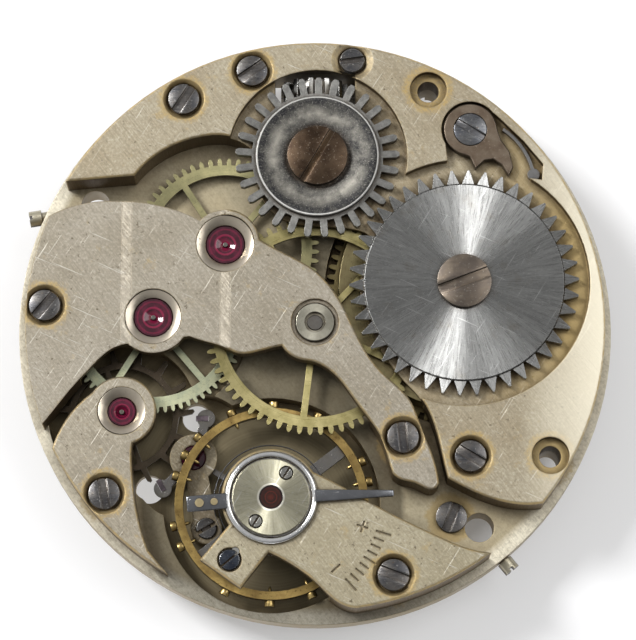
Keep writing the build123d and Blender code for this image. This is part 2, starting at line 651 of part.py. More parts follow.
scale_r, scale_width, scale_depth, scale_ticks = 4.30, 0.07, 0.05, 9
scale_start, scale_step, tick_long, tick_short = -47.5, 3.75, 0.62, 0.42
sign_r, sign_size = 3.75, 0.46
sign_turn = scale_start + (scale_ticks - 1) * scale_step
stud_at = polar(balance_at, stud_radius, stud_angle)
cap_screw_r, cap_shank_r, cap_screw_reach, cap_screw_angle = 0.26, 0.14, 1.12, 58.0
stud_screw_r = 0.42


def scale_marks():
    """The engraved scale of the regulator: ticks, a plus and a minus."""
    with BuildSketch(deck(cock_top - scale_depth)) as marks:
        for tick in range(scale_ticks):
            turn = scale_start + tick * scale_step
            long = tick_long if tick % (scale_ticks // 2) == 0 else tick_short
            with Locations(Location((*polar(balance_at, scale_r + long / 2, turn), 0), (0, 0, turn))):
                Rectangle(long, scale_width)
        with Locations(Location((*polar(balance_at, sign_r, scale_start), 0), (0, 0, scale_start))):
            Rectangle(scale_width, sign_size)
        with Locations(Location((*polar(balance_at, sign_r, sign_turn), 0), (0, 0, sign_turn))):
            Rectangle(scale_width, sign_size)
            Rectangle(sign_size, scale_width)
    extrude(marks.sketch, amount=scale_depth + overrun, mode=Mode.SUBTRACT)


with BuildPart() as balance_cock:
    extrude(bridge_sketch(balance_cock_shares, plate_thick, cock_rim, [(balance_at, cock_head_r)]),
            amount=cock_top - plate_thick)
    chamfer(top_edges(balance_cock.part), bridge_edge)
    bored(balance_at, balance_cavity_r + recess_gap, plate_thick, cock_under)
    bored(centre_at, centre_swing_r, plate_thick, cock_under)
    bored(balance_at, small_jewel_r, cock_under, upper_jewel_top)
    bored(balance_at, arbor_r, upper_jewel_top, cock_top)
    bored(stud_at, stud_r + seat_gap, cock_under, cock_top)
    bored(placed(stud_share), shank_r, cock_under, cock_top)
    bored(placed(stud_share), stud_screw_r + body_gap, cock_top - cap_head_thick, cock_top)
    for side in (0, 180):
        bored(polar(balance_at, cap_screw_reach, cap_screw_angle + side), cap_shank_r + running_gap,
              cock_under, cock_top)
    scale_marks()
    screw_seat(placed(bridge_screw_shares[6][0]), cock_top)
balance_cock.part.label = "balance_cock"

pallet_cock_r, pallet_arm_width = 0.95, 0.90
pallet_foot_at = placed(pallet_foot_share)
with BuildPart() as pallet_cock:
    middle = ((pallet_at[0] + pallet_foot_at[0]) / 2, (pallet_at[1] + pallet_foot_at[1]) / 2)
    with BuildSketch(deck(pallet_cock_rise)) as layer:
        with Locations(pallet_at):
            Circle(pallet_cock_r)
        with Locations(pallet_foot_at):
            Circle(head_r)
        with Locations(Location((*middle, 0), (0, 0, heading(pallet_at, pallet_foot_at)))):
            Rectangle(span(pallet_at, pallet_foot_at), pallet_arm_width)
    extrude(layer.sketch, amount=pallet_cock_thick)
    bored(pallet_at, small_jewel_r, pallet_cock_rise, pallet_cock_rise + pallet_cock_thick)
    bored(pallet_foot_at, small_shank_r + running_gap, pallet_cock_rise, pallet_cock_rise + pallet_cock_thick)
pallet_cock.part.label = "pallet_cock"

# Screws, jewels and bushes; the turns are the slots' directions in degrees
shank_end, screw_foot, small_slot = 0.90, 0.05, 0.075
plate_screw_turn, cock_screw_turn, ratchet_screw_turn, crown_screw_turn = 68, 30, 21, 60
click_screw_turn, detent_turn, detent_slot, stud_screw_turn = -32, 8, 0.24, 40

with BuildPart() as bridge_screws:
    for (spot, slot_turn), top in zip(bridge_screw_shares, bridge_screw_tops):
        screw(placed(spot), top + screw_proud, slot_turn, top + screw_proud - shank_end)
    screw(placed(plate_screw_share), plate_thick + head_thick, plate_screw_turn,
          plate_thick + head_thick - shank_end)
bridge_screws.part.label = "bridge_screws"

cock_screw_top = pallet_cock_rise + pallet_cock_thick + small_head_thick
with BuildPart() as small_screws:
    screw(pallet_foot_at, cock_screw_top, cock_screw_turn, cock_screw_top - escapement_floor - screw_foot,
          small_head_r, small_head_thick, small_shank_r)
    for spot in cover_screw_spots:
        with BuildPart(mode=Mode.PRIVATE) as cover_screw:
            disc(spot, small_head_r, cover_rise - small_head_thick, cover_rise)
            chamfer(cover_screw.edges().group_by(Axis.Z)[0], edge_break)
            with BuildSketch(deck(cover_rise - small_head_thick - overrun)) as groove:
                with Locations(spot):
                    Rectangle(2 * head_r, slot_width)
            extrude(groove.sketch, amount=overrun + small_head_thick / 2, mode=Mode.SUBTRACT)
            disc(spot, small_shank_r, cover_rise, plate_thick / 2)
        add(cover_screw.part)
small_screws.part.label = "small_screws"

with BuildPart() as foot_screw_pair:
    for spot, direction, head_start in foot_screws:
        start = placed(spot)
        with BuildPart(mode=Mode.PRIVATE) as foot_screw:
            side_bar(start, direction, foot_screw_r, foot_screw_near, head_start, foot_screw_rise)
            side_bar(start, direction, foot_head_r, head_start, head_start + foot_head_len, foot_screw_rise)
            tip = polar(start, head_start + foot_head_len, direction)
            with Locations(Location((*tip, dial_z + foot_screw_rise), (0, 0, direction))):
                Box(2 * slot_depth, slot_width, 2 * head_r, mode=Mode.SUBTRACT)
        add(foot_screw.part)
foot_screw_pair.part.label = "dial_foot_screws"

hole_gap, fourth_cup_r = running_gap, 0.42
with BuildPart() as train_jewels:
    jewel(third_at, train_jewel_r, bridge_under, sink_floor, pivot_r + hole_gap, train_jewel_r / 2)
    jewel(fourth_at, train_jewel_r, bridge_under, sink_floor, pivot_r + hole_gap, train_jewel_r / 2)
    jewel(escape_at, escape_jewel_r, escape_cock_under + screw_foot, escape_jewel_top, pivot_r + hole_gap,
          escape_jewel_r / 2)
    jewel(third_at, train_jewel_r - seat_gap, lower_jewel_rise, lower_jewel_rise + lower_jewel_thick,
          pivot_r + hole_gap, train_jewel_r / 2)
    jewel(fourth_at, escape_jewel_r - seat_gap, fourth_jewel_rise, fourth_jewel_rise + lower_jewel_thick,
          fourth_arbor_r + hole_gap, fourth_cup_r)
    jewel(escape_at, small_jewel_r - seat_gap, lower_jewel_low, lower_jewel_low + lower_jewel_thick,
          pivot_r + hole_gap, small_jewel_r / 2)
train_jewels.part.label = "train_jewels"

with BuildPart() as pallet_jewels:
    jewel(pallet_at, small_jewel_r - seat_gap, pallet_cock_rise, pallet_cock_rise + pallet_cock_thick,
          pivot_r + hole_gap, small_jewel_r / 2)
    jewel(pallet_at, small_jewel_r - seat_gap, lower_jewel_low, lower_jewel_low + lower_jewel_thick,
          pivot_r + hole_gap, small_jewel_r / 2)
pallet_jewels.part.label = "pallet_jewels"

upper_jewel_low, balance_pivot_r = 2.92, 0.07
with BuildPart() as balance_jewels:
    jewel(balance_at, small_jewel_r - seat_gap, upper_jewel_low, upper_jewel_top, balance_pivot_r + hole_gap,
          small_jewel_r / 2)
    jewel(balance_at, small_jewel_r - seat_gap, lower_cap_thick, escapement_floor - lower_jewel_gap,
          balance_pivot_r + hole_gap, small_jewel_r / 2)
balance_jewels.part.label = "balance_jewels"

cap_jewel_thick, lower_stone_r = 0.18, 0.24
with BuildPart() as cap_jewels:
    disc(balance_at, cap_jewel_r, cock_top, cock_top + cap_jewel_thick)
    disc(balance_at, lower_stone_r, running_gap, lower_cap_thick - seat_gap)
cap_jewels.part.label = "cap_jewels"

with BuildPart() as balance_caps:
    disc(balance_at, cap_plate_r, cock_top, cock_top + cap_plate_thick)
    chamfer(balance_caps.edges().group_by(Axis.Z)[-1], edge_break)
    bored(balance_at, cap_jewel_r + seat_gap, cock_top, cock_top + cap_plate_thick)
    for side in (0, 180):
        spot = polar(balance_at, cap_screw_reach, cap_screw_angle + side)
        bored(spot, cap_shank_r + running_gap, cock_top, cock_top + cap_plate_thick)
        bored(spot, cap_screw_r + running_gap, cock_top + cap_plate_thick - cap_head_thick,
              cock_top + cap_plate_thick)
    disc(balance_at, lower_cap_r - seat_gap, running_gap, lower_cap_thick)
    bored(balance_at, lower_stone_r + seat_gap, 0, lower_cap_thick)
balance_caps.part.label = "balance_caps"

with BuildPart() as cap_screws:
    for side in (0, 180):
        spot = polar(balance_at, cap_screw_reach, cap_screw_angle + side)
        screw(spot, cock_top + cap_plate_thick, cap_screw_angle + side, cap_plate_thick + head_thick,
              cap_screw_r, cap_head_thick, cap_shank_r, small_slot)
cap_screws.part.label = "cap_screws"

bush_hole_r = 0.42
with BuildPart() as centre_bush:
    disc(centre_at, bush_r - seat_gap, bridge_under + running_gap, bridge_top + running_gap)
    chamfer(centre_bush.edges().group_by(Axis.Z)[-1], edge_break)
    bored(centre_at, centre_pivot_r + running_gap, bridge_under, bridge_top + overrun)
    bored(centre_at, bush_hole_r, bridge_top - bush_groove_depth - edge_break, bridge_top + overrun)
centre_bush.part.label = "centre_bush"

# Barrel, its arbor and the mainspring
barrel_top = barrel_rise + barrel_height
barrel_inside = barrel_rise + barrel_tooth_height - body_gap
square_side, square_gap = 0.80, 0.02
with BuildPart() as barrel_drum:
    plate_of(wheel_points(barrel_at, barrel_pitch_r, barrel_teeth, barrel_phase),
             barrel_rise, barrel_rise + barrel_tooth_height)
    disc(barrel_at, drum_r, barrel_rise, barrel_top - lid_thick)
    bored(barrel_at, drum_r - drum_wall, barrel_rise + lid_thick, barrel_top)
    bored(barrel_at, barrel_arbor_r, 0, barrel_top)
barrel_drum.part.label = "barrel_drum"

with BuildPart() as barrel_lid:
    disc(barrel_at, drum_r, barrel_top - lid_thick, barrel_top)
    chamfer(barrel_lid.edges().group_by(Axis.Z)[-1], edge_break)
    bored(barrel_at, barrel_arbor_r, 0, barrel_top)
barrel_lid.part.label = "barrel_lid"

spring_low = barrel_rise + lid_thick + body_gap
spring_high = barrel_top - lid_thick - body_gap
with BuildPart() as barrel_arbor:
    disc(barrel_at, barrel_pivot_r, running_gap, barrel_rise)
    disc(barrel_at, barrel_arbor_r - running_gap, barrel_rise, ratchet_rise)
    disc(barrel_at, barrel_core_r, barrel_rise + lid_thick + running_gap,
         barrel_top - lid_thick - running_gap)
    with BuildSketch(deck(ratchet_rise)) as square:
        with Locations(barrel_at):
            Rectangle(square_side, square_side)
    extrude(square.sketch, amount=ratchet_thick - edge_break)
    bored(barrel_at, shank_r + running_gap, barrel_top, bridge_top + overrun)
barrel_arbor.part.label = "barrel_arbor"


def spiral(centre, first_r, pitch, turns, width, low, tall, end_angle):
    """A flat strip wound in half turns about two centres; returns its centre line's points."""
    half_turns = 2 * turns
    shift = (pitch / 2 * cos(radians(end_angle)), pitch / 2 * sin(radians(end_angle)))
    centres = [centre, (centre[0] + shift[0], centre[1] + shift[1])]
    radii = [first_r + half * pitch / 2 for half in range(half_turns)]

    def half_arc(half, radius, backwards):
        start = end_angle + 180 * half
        sweep = 180
        if backwards:
            start, sweep = start + 180, -180
        CenterArc(centres[half % 2], radius, start, sweep)

    with BuildSketch(deck(low)) as strip:
        with BuildLine():
            for half in range(half_turns):
                half_arc(half, radii[half] + width / 2, False)
            last = centres[(half_turns - 1) % 2]
            Line(polar(last, radii[-1] + width / 2, end_angle), polar(last, radii[-1] - width / 2, end_angle))
            for half in reversed(range(half_turns)):
                half_arc(half, radii[half] - width / 2, True)
            Line(polar(centre, first_r - width / 2, end_angle), polar(centre, first_r + width / 2, end_angle))
        make_face()
    extrude(strip.sketch, amount=tall)
    return [[polar(centres[half % 2], radii[half], end_angle + 180 * (half + step / gap_steps))
             for step in range(gap_steps)] for half in range(half_turns)]


def least_gap(rows, width):
    """The smallest clear distance between one turn of a spiral and the next."""
    pairs = [(inner, outer) for near, far in zip(rows, rows[2:]) for inner in near for outer in far]
    return min(span(inner, outer) for inner, outer in pairs) - width


gap_steps = 24
mainspring_width, mainspring_pitch, mainspring_turns, mainspring_end = 0.12, 0.54, 6, 195.4
with BuildPart() as mainspring:
    mainspring_rows = spiral(barrel_at, barrel_core_r + mainspring_width / 2 + seat_gap, mainspring_pitch,
                             mainspring_turns, mainspring_width, spring_low, spring_high - spring_low,
                             mainspring_end)
mainspring.part.label = "mainspring"
print("mainspring least gap", round(least_gap(mainspring_rows, mainspring_width), 3))

# Winding wheels and click
ratchet_root_r = ratchet_tip_r - ratchet_tooth_depth
ratchet_bevel = 0.06
ratchet_foot_share, ratchet_point_share = 0.46, 0.06
with BuildPart() as ratchet_wheel:
    plate_of(tooth_points(barrel_at, ratchet_teeth, ratchet_phase,
                          [(ratchet_root_r, -ratchet_foot_share), (ratchet_tip_r, -ratchet_point_share),
                           (ratchet_tip_r, ratchet_point_share), (ratchet_root_r, ratchet_foot_share)]),
             ratchet_rise, ratchet_rise + ratchet_thick - ratchet_bevel)
    disc(barrel_at, ratchet_root_r + ratchet_bevel, ratchet_rise, ratchet_rise + ratchet_thick)
    chamfer(ratchet_wheel.edges().group_by(Axis.Z)[-1], ratchet_bevel - seat_gap)
    with BuildSketch(deck(ratchet_rise)) as square_hole:
        with Locations(barrel_at):
            Rectangle(square_side + square_gap, square_side + square_gap)
    extrude(square_hole.sketch, amount=ratchet_thick, mode=Mode.SUBTRACT)
ratchet_wheel.part.label = "ratchet_wheel"

ratchet_head_r, winding_head_thick = 1.08, 0.24
ratchet_top = ratchet_rise + ratchet_thick
with BuildPart() as ratchet_screw:
    screw(barrel_at, ratchet_top + winding_head_thick, ratchet_screw_turn,
          ratchet_top + winding_head_thick - barrel_top - running_gap, ratchet_head_r, winding_head_thick)
ratchet_screw.part.label = "ratchet_screw"

crown_root_r = crown_tip_r - crown_tooth_depth
crown_foot_share, crown_side_share, crown_point_share = 0.25, 0.21, 0.10
crown_disc_r, crown_dish_r, crown_dish_depth, finger_round = 2.48, 2.30, 0.14, 0.12
crown_head_r, crown_bore_r = 1.27, crown_boss_r + running_gap
with BuildPart() as crown_wheel:
    plate_of(tooth_points(crown_at, crown_teeth, crown_phase,
                          [(crown_root_r, -crown_foot_share), (crown_tip_r - finger_round, -crown_side_share),
                           (crown_tip_r, -crown_point_share), (crown_tip_r, crown_point_share),
                           (crown_tip_r - finger_round, crown_side_share), (crown_root_r, crown_foot_share)]),
             crown_rise, crown_rise + crown_thick)
    disc(crown_at, crown_disc_r, crown_rise, crown_rise + crown_disc_thick)
    chamfer(crown_wheel.edges().group_by(Axis.Z)[-1], edge_break)
    with Locations((*crown_at, dial_z + crown_rise + crown_disc_thick - crown_dish_depth / 2)):
        Cone(crown_head_r, crown_dish_r, crown_dish_depth, mode=Mode.SUBTRACT)
    bored(crown_at, crown_head_r, crown_rise + crown_disc_thick - crown_dish_depth, bridge_top + overrun)
    bored(crown_at, crown_bore_r, crown_rise, bridge_top + overrun)
crown_wheel.part.label = "crown_wheel"

with BuildPart() as crown_screw:
    screw(crown_at, crown_boss_top + winding_head_thick, crown_screw_turn,
          crown_boss_top + winding_head_thick - bridge_under, crown_head_r - body_gap, winding_head_thick)
crown_screw.part.label = "crown_screw"

click_rise, click_thick, click_head_r, click_head_thick = 2.76, 0.34, 0.66, 0.15
click_tail_shares = [(0.474, 0.591), (0.523, 0.570), (0.532, 0.549), (0.541, 0.529), (0.572, 0.557),
                     (0.602, 0.562), (0.631, 0.541), (0.654, 0.503), (0.669, 0.534), (0.657, 0.588),
                     (0.628, 0.630), (0.610, 0.690), (0.525, 0.665)]
with BuildPart() as click:
    with BuildSketch(deck(click_rise)) as shape:
        with BuildLine():
            Polyline(*[placed(share) for share in click_tail_shares], close=True)
        make_face()
        with Locations(click_at):
            Circle(click_r)
    extrude(shape.sketch, amount=click_thick)
    chamfer(top_edges(click.part), edge_break)
    bored(click_at, shank_r + 2 * running_gap, click_rise, bridge_top)
    bored(click_at, click_head_r + running_gap, click_rise + click_thick - click_head_thick, bridge_top)
click.part.label = "click"

click_screw_top = click_rise + click_thick + running_gap
with BuildPart() as click_screw:
    screw(click_at, click_screw_top, click_screw_turn, click_screw_top - bridge_under + head_thick,
          click_head_r, click_head_thick, shank_r, small_slot)
click_screw.part.label = "click_screw"

click_spring_shares = [(0.738, 0.512), (0.705, 0.599), (0.637, 0.670)]
click_spring_width, click_spring_tall, spring_pad_r = 0.13, 0.22, 0.24
with BuildPart() as click_spring:
    foot, middle, tip = [placed(share) for share in click_spring_shares]
    with BuildSketch(deck(winding_floor)) as strip:
        with BuildLine() as path:
            ThreePointArc(foot, middle, tip)
        trace(path.line, click_spring_width)
        with Locations(foot):
            Circle(spring_pad_r)
    extrude(strip.sketch, amount=click_spring_tall)
click_spring.part.label = "click_spring"


def stem_ring(teeth, tip_r, root_r, near, far, phase, tip_share, root_share):
    """A toothed ring round the stem's axis, between two distances from the centre."""
    ring_plane = Plane(origin=(0, far, dial_z + stem_rise), x_dir=(1, 0, 0), z_dir=(0, -1, 0))
    with BuildSketch(ring_plane) as ring:
        with BuildLine():
            Polyline(*tooth_points((0.0, 0.0), teeth, phase,
                                   [(root_r, -root_share), (tip_r, -tip_share), (tip_r, tip_share),
                                    (root_r, root_share)]), close=True)
        make_face()
    extrude(ring.sketch, amount=far - near)


pinion_bore_r, winding_point_share, winding_foot_share = 0.68, 0.14, 0.24
winding_pitch_r = (winding_tip_r + winding_root_r) / 2
crown_offset = (90 - crown_phase + 180 / crown_teeth) % (360 / crown_teeth) - 180 / crown_teeth
crown_tooth_x = crown_at[0] + crown_pitch_r * sin(radians(crown_offset))
winding_phase = 90 - degrees(crown_tooth_x / winding_pitch_r) + 180 / winding_teeth
with BuildPart() as winding_pinion:
    stem_ring(winding_teeth, winding_tip_r, winding_root_r, pinion_start, pinion_start + winding_thick,
              winding_phase, winding_point_share, winding_foot_share)
    side_bar((0.0, 0.0), 90, pinion_bore_r, pinion_start - overrun, winding_high + overrun, stem_rise,
             Mode.SUBTRACT)
winding_pinion.part.label = "winding_pinion"

clutch_face, clutch_face_share, square_bore = 0.24, 0.25, 0.62
with BuildPart() as sliding_pinion:
    side_bar((0.0, 0.0), 90, clutch_groove_r, clutch_start, clutch_start + clutch_thick, stem_rise)
    side_bar((0.0, 0.0), 90, clutch_r, groove_middle + clutch_groove / 2,
             clutch_start + clutch_thick - clutch_face, stem_rise)
    side_bar((0.0, 0.0), 90, clutch_r, clutch_start + clutch_face,
             groove_middle - clutch_groove / 2, stem_rise)
    stem_ring(clutch_teeth, clutch_r, clutch_groove_r, clutch_start + clutch_thick - clutch_face,
              clutch_start + clutch_thick, 0, clutch_face_share, clutch_face_share)
    stem_ring(clutch_teeth, clutch_r, clutch_groove_r, clutch_start, clutch_start + clutch_face, 0,
              clutch_face_share, clutch_face_share)
    with Locations((0, clutch_start + clutch_thick / 2, dial_z + stem_rise)):
        Box(square_bore, 2 * clutch_thick, square_bore, mode=Mode.SUBTRACT)
sliding_pinion.part.label = "sliding_pinion"

# Setting works on the dial side
lever_tip_shares = [(0.126, 0.930), (0.100, 0.900), (0.118, 0.780), (0.128, 0.700), (0.166, 0.700),
                    (0.168, 0.800), (0.152, 0.900)]
detent_at = placed(detent_share)
lever_boss_r = 0.34
with BuildPart() as setting_lever:
    with BuildSketch(deck(lever_rise)) as shape:
        with BuildLine():
            Polyline(*[placed(share) for share in lever_tip_shares], close=True)
        make_face()
        with Locations(detent_at):
            Circle(lever_boss_r)
    extrude(shape.sketch, amount=lever_thick)
    bored(detent_at, detent_shank_r + seat_gap, lever_rise, lever_rise + lever_thick)
setting_lever.part.label = "setting_lever"

with BuildPart() as setting_lever_screw:
    screw(detent_at, bridge_top + screw_proud, detent_turn, bridge_top + screw_proud - lever_rise,
          detent_head_r, head_thick, detent_shank_r, detent_slot)
setting_lever_screw.part.label = "setting_lever_screw"

yoke_width, yoke_boss_r = 0.44, 0.42
finger_end = yoke_at[0] - yoke_reach - finger_width / 2
with BuildPart() as yoke:
    with BuildSketch(deck(lever_rise)) as shape:
        with Locations(((yoke_at[0] + finger_end) / 2, yoke_at[1])):
            Rectangle(yoke_at[0] - finger_end, yoke_width)
        with Locations(yoke_at):
            Circle(yoke_boss_r)
            Circle(post_r + running_gap, mode=Mode.SUBTRACT)
    extrude(shape.sketch, amount=lever_thick)
    with BuildSketch(deck(lever_rise)) as finger:
        with Locations((finger_end + finger_width / 2, yoke_at[1])):
            Rectangle(finger_width, finger_deep)
    extrude(finger.sketch, amount=finger_height)
yoke.part.label = "yoke"

yoke_spring_shares = [(0.18, -0.72), (-0.14, -0.48), (-0.62, -0.14)]
with BuildPart() as yoke_spring:
    with BuildSketch(deck(lever_rise)) as strip:
        with BuildLine() as path:
            ThreePointArc(*[(yoke_at[0] + x * yoke_reach, yoke_at[1] + y * yoke_reach)
                            for x, y in yoke_spring_shares])
        trace(path.line, click_spring_width)
    extrude(strip.sketch, amount=lever_thick)
yoke_spring.part.label = "yoke_spring"

cover_boss_r, cover_arm_width = 0.62, 0.95
cover_stations = [cover_screw_spots[0], setting_at, cover_screw_spots[1], yoke_at]
with BuildPart() as setting_bridge:
    with BuildSketch(deck(cover_rise)) as shape:
        for near, far in zip(cover_stations, cover_stations[1:]):
            middle = ((near[0] + far[0]) / 2, (near[1] + far[1]) / 2)
            with Locations(Location((*middle, 0), (0, 0, heading(near, far)))):
                Rectangle(span(near, far), cover_arm_width)
        for spot in cover_stations:
            with Locations(spot):
                Circle(cover_boss_r)
    extrude(shape.sketch, amount=cover_thick)
    for spot in cover_screw_spots:
        bored(spot, small_shank_r + running_gap, cover_rise, cover_rise + cover_thick)
    for spot in (setting_at, yoke_at):
        bored(spot, post_r + running_gap, cover_rise, cover_rise + cover_thick)
setting_bridge.part.label = "setting_bridge"

with BuildPart() as setting_wheel:
    plate_of(wheel_points(setting_at, setting_pitch_r, setting_teeth, setting_phase),
             setting_rise_up, setting_rise_up + setting_thick)
    bored(setting_at, post_r + running_gap, setting_rise_up, setting_rise_up + setting_thick)
setting_wheel.part.label = "setting_wheel"

with BuildPart() as minute_wheel:
    plate_of(wheel_points(minute_at, minute_pitch_r, minute_teeth, minute_phase),
             minute_rise, minute_rise + minute_thick)
    leaves(minute_at, minute_pinion_r, minute_leaves, minute_leaf_phase, minute_leaf_rise, minute_rise)
    bored(minute_at, post_r + running_gap, 0, motion_ceiling)
minute_wheel.part.label = "minute_wheel"

with BuildPart() as hour_wheel:
    plate_of(wheel_points(centre_at, hour_pitch_r, hour_teeth, hour_phase), hour_rise, hour_rise + hour_thick)
    disc(centre_at, hour_pipe_r, -hour_pipe_len, hour_rise)
    bored(centre_at, cannon_pipe_r + running_gap, -hour_pipe_len, hour_rise + hour_thick)
hour_wheel.part.label = "hour_wheel"

# Going train
with BuildPart() as cannon_pinion:
    disc(centre_at, cannon_seat_r, -hand_post, cannon_seat_len - hand_post)
    disc(centre_at, cannon_pipe_r, cannon_seat_len - hand_post, cannon_leaf_rise)
    leaves(centre_at, cannon_pinion_r, cannon_leaves, cannon_phase, cannon_leaf_rise, cannon_leaf_top)
    bored(centre_at, cannon_bore_r, -hand_post, cannon_leaf_top)
cannon_pinion.part.label = "cannon_pinion"

pinion_drop, pinion_up = 0.06, 0.08
spokes, centre_spoke_turn, third_spoke_turn, fourth_spoke_turn = 5, -97, 123, -50
with BuildPart() as centre_pinion:
    disc(centre_at, cannon_bore_r - seat_gap, body_gap - hand_post, motion_ceiling)
    disc(centre_at, centre_arbor_r, motion_ceiling, centre_wheel_rise + centre_wheel_thick + pinion_up)
    disc(centre_at, centre_pivot_r, centre_wheel_rise, bridge_top - bush_groove_depth)
    leaves(centre_at, centre_pinion_r, centre_leaves, centre_pinion_phase, centre_floor + pinion_drop,
           barrel_rise + barrel_tooth_height + pinion_drop)
centre_pinion.part.label = "centre_pinion"

with BuildPart() as centre_wheel:
    spoked_wheel(centre_at, centre_pitch_r, centre_teeth, centre_phase, centre_wheel_rise, centre_wheel_thick,
                 centre_arbor_r + seat_gap, spokes, centre_spoke_turn)
centre_wheel.part.label = "centre_wheel"

pivot_end = 0.04
with BuildPart() as third_pinion:
    disc(third_at, pivot_r, lower_jewel_rise, sink_floor + pivot_end)
    disc(third_at, arbor_r, lower_jewel_rise + lower_jewel_thick + running_gap, bridge_under - pivot_end)
    leaves(third_at, third_pinion_r, third_leaves, third_pinion_phase, centre_wheel_rise - pinion_up,
           centre_wheel_rise + centre_wheel_thick + pinion_up)
third_pinion.part.label = "third_pinion"

with BuildPart() as third_wheel:
    spoked_wheel(third_at, third_pitch_r, third_teeth, third_phase, third_wheel_rise, third_wheel_thick,
                 arbor_r + seat_gap, spokes, third_spoke_turn)
third_wheel.part.label = "third_wheel"

with BuildPart() as fourth_pinion:
    disc(fourth_at, seconds_post_r, -seconds_post_len, 0)
    disc(fourth_at, fourth_arbor_r, 0, bridge_under - pivot_end)
    disc(fourth_at, pivot_r, bridge_under - pivot_end, sink_floor + pivot_end)
    leaves(fourth_at, fourth_pinion_r, fourth_leaves, fourth_pinion_phase, third_wheel_rise - pinion_drop,
           third_wheel_rise + third_wheel_thick + pinion_up)
fourth_pinion.part.label = "fourth_pinion"

with BuildPart() as fourth_wheel:
    spoked_wheel(fourth_at, fourth_pitch_r, fourth_teeth, fourth_phase, fourth_wheel_rise, fourth_wheel_thick,
                 fourth_arbor_r + seat_gap, spokes, fourth_spoke_turn)
fourth_wheel.part.label = "fourth_wheel"

# Escapement
with BuildPart() as escape_pinion:
    disc(escape_at, pivot_r, lower_jewel_low, escape_jewel_top)
    disc(escape_at, arbor_r, lower_jewel_low + lower_jewel_thick + running_gap,
         escape_cock_under + screw_foot - running_gap)
    leaves(escape_at, escape_pinion_r, escape_leaves, escape_pinion_phase, fourth_wheel_rise - pinion_drop,
           fourth_wheel_rise + fourth_wheel_thick + pinion_up)
escape_pinion.part.label = "escape_pinion"

escape_tooth, escape_rim, escape_hub_r, escape_spoke = 0.62, 0.26, 0.46, 0.20
lever_line = heading(escape_at, pallet_at)
quarter_pitch = 90 / escape_teeth
escape_phase = lever_line + stone_side + quarter_pitch
escape_root_r = escape_r - escape_tooth
escape_window_r = escape_root_r - escape_rim
escape_spokes, escape_spoke_turn = 4, 20

# Depth of a tooth's points below its tip as a share of its height, and their place as a share of the pitch
escape_tooth_shares = [(1, -0.20), (0.15, -0.09), (0, 0.0), (0.08, 0.07), (1, 0.08)]
with BuildPart() as escape_wheel:
    with BuildSketch(deck(escape_rise)) as layer:
        with BuildLine():
            stations = [(escape_r - depth * escape_tooth, share) for depth, share in escape_tooth_shares]
            Polyline(*tooth_points(escape_at, escape_teeth, escape_phase, stations), close=True)
        make_face()
        with Locations(escape_at):
            Circle(escape_window_r, mode=Mode.SUBTRACT)
            Circle(escape_hub_r)
            with PolarLocations(escape_window_r / 2, escape_spokes, escape_spoke_turn):
                Rectangle(escape_window_r + escape_rim, escape_spoke)
            Circle(arbor_r + seat_gap, mode=Mode.SUBTRACT)
    extrude(layer.sketch, amount=escape_thick)
escape_wheel.part.label = "escape_wheel"

stone_gap, stone_width, stone_len, stone_rise = 0.05, 0.20, 0.50, 0.02
pallet_arm, pallet_arm_wide, pallet_pad_r = 0.45, 0.38, 0.36
lever_wide, lever_reach, horn_wide, fork_hub_r = 0.22, 2.84, 0.54, 0.44
notch_wide, notch_deep, pallet_staff_r = 0.24, 0.30, 0.16
stone_angles = [lever_line + stone_side, lever_line - stone_side]


def stone_sketch(low, grow):
    """The two pallet stones, or their slots when grown by a gap."""
    with BuildSketch(deck(low)) as stones:
        for turn in stone_angles:
            near = polar(escape_at, escape_r + stone_gap, turn)
            far = polar(escape_at, escape_r + stone_gap + stone_len + grow, turn)
            middle = ((near[0] + far[0]) / 2, (near[1] + far[1]) / 2)
            with Locations(Location((*middle, 0), (0, 0, turn))):
                Rectangle(span(near, far), stone_width + 2 * grow)
    return stones.sketch


with BuildPart() as pallet_fork:
    fork_end = polar(pallet_at, lever_reach, fork_heading)
    horn_start = polar(pallet_at, lever_reach - notch_deep - lever_wide, fork_heading)
    notch_start = polar(pallet_at, lever_reach - notch_deep, fork_heading)
    notch_end = polar(pallet_at, lever_reach + notch_deep, fork_heading)
    with BuildSketch(deck(escape_rise)) as layer:
        for turn in stone_angles:
            tip = polar(escape_at, escape_r + pallet_arm, turn)
            with Locations(Location((*((pallet_at[0] + tip[0]) / 2, (pallet_at[1] + tip[1]) / 2), 0),
                                    (0, 0, heading(pallet_at, tip)))):
                Rectangle(span(pallet_at, tip), pallet_arm_wide)
            with Locations(tip):
                Circle(pallet_pad_r)
        for start, end, width in ((pallet_at, fork_end, lever_wide), (horn_start, fork_end, horn_wide)):
            with Locations(Location((*((start[0] + end[0]) / 2, (start[1] + end[1]) / 2), 0),
                                    (0, 0, fork_heading))):
                Rectangle(span(start, end), width)
        with Locations(pallet_at):
            Circle(fork_hub_r)
        with Locations(Location((*((notch_start[0] + notch_end[0]) / 2,
                                   (notch_start[1] + notch_end[1]) / 2), 0), (0, 0, fork_heading))):
            Rectangle(2 * notch_deep, notch_wide, mode=Mode.SUBTRACT)
    extrude(layer.sketch, amount=escape_thick)
    extrude(stone_sketch(escape_rise, seat_gap), amount=escape_thick, mode=Mode.SUBTRACT)
    disc(pallet_at, pallet_staff_r, lower_jewel_low + lower_jewel_thick + running_gap,
         pallet_cock_rise - running_gap)
    disc(pallet_at, pivot_r, lower_jewel_low, pallet_cock_rise + pallet_cock_thick)
pallet_fork.part.label = "pallet_fork"

with BuildPart() as pallet_stones:
    extrude(stone_sketch(escape_rise, 0), amount=escape_thick + stone_rise)
pallet_stones.part.label = "pallet_stones"

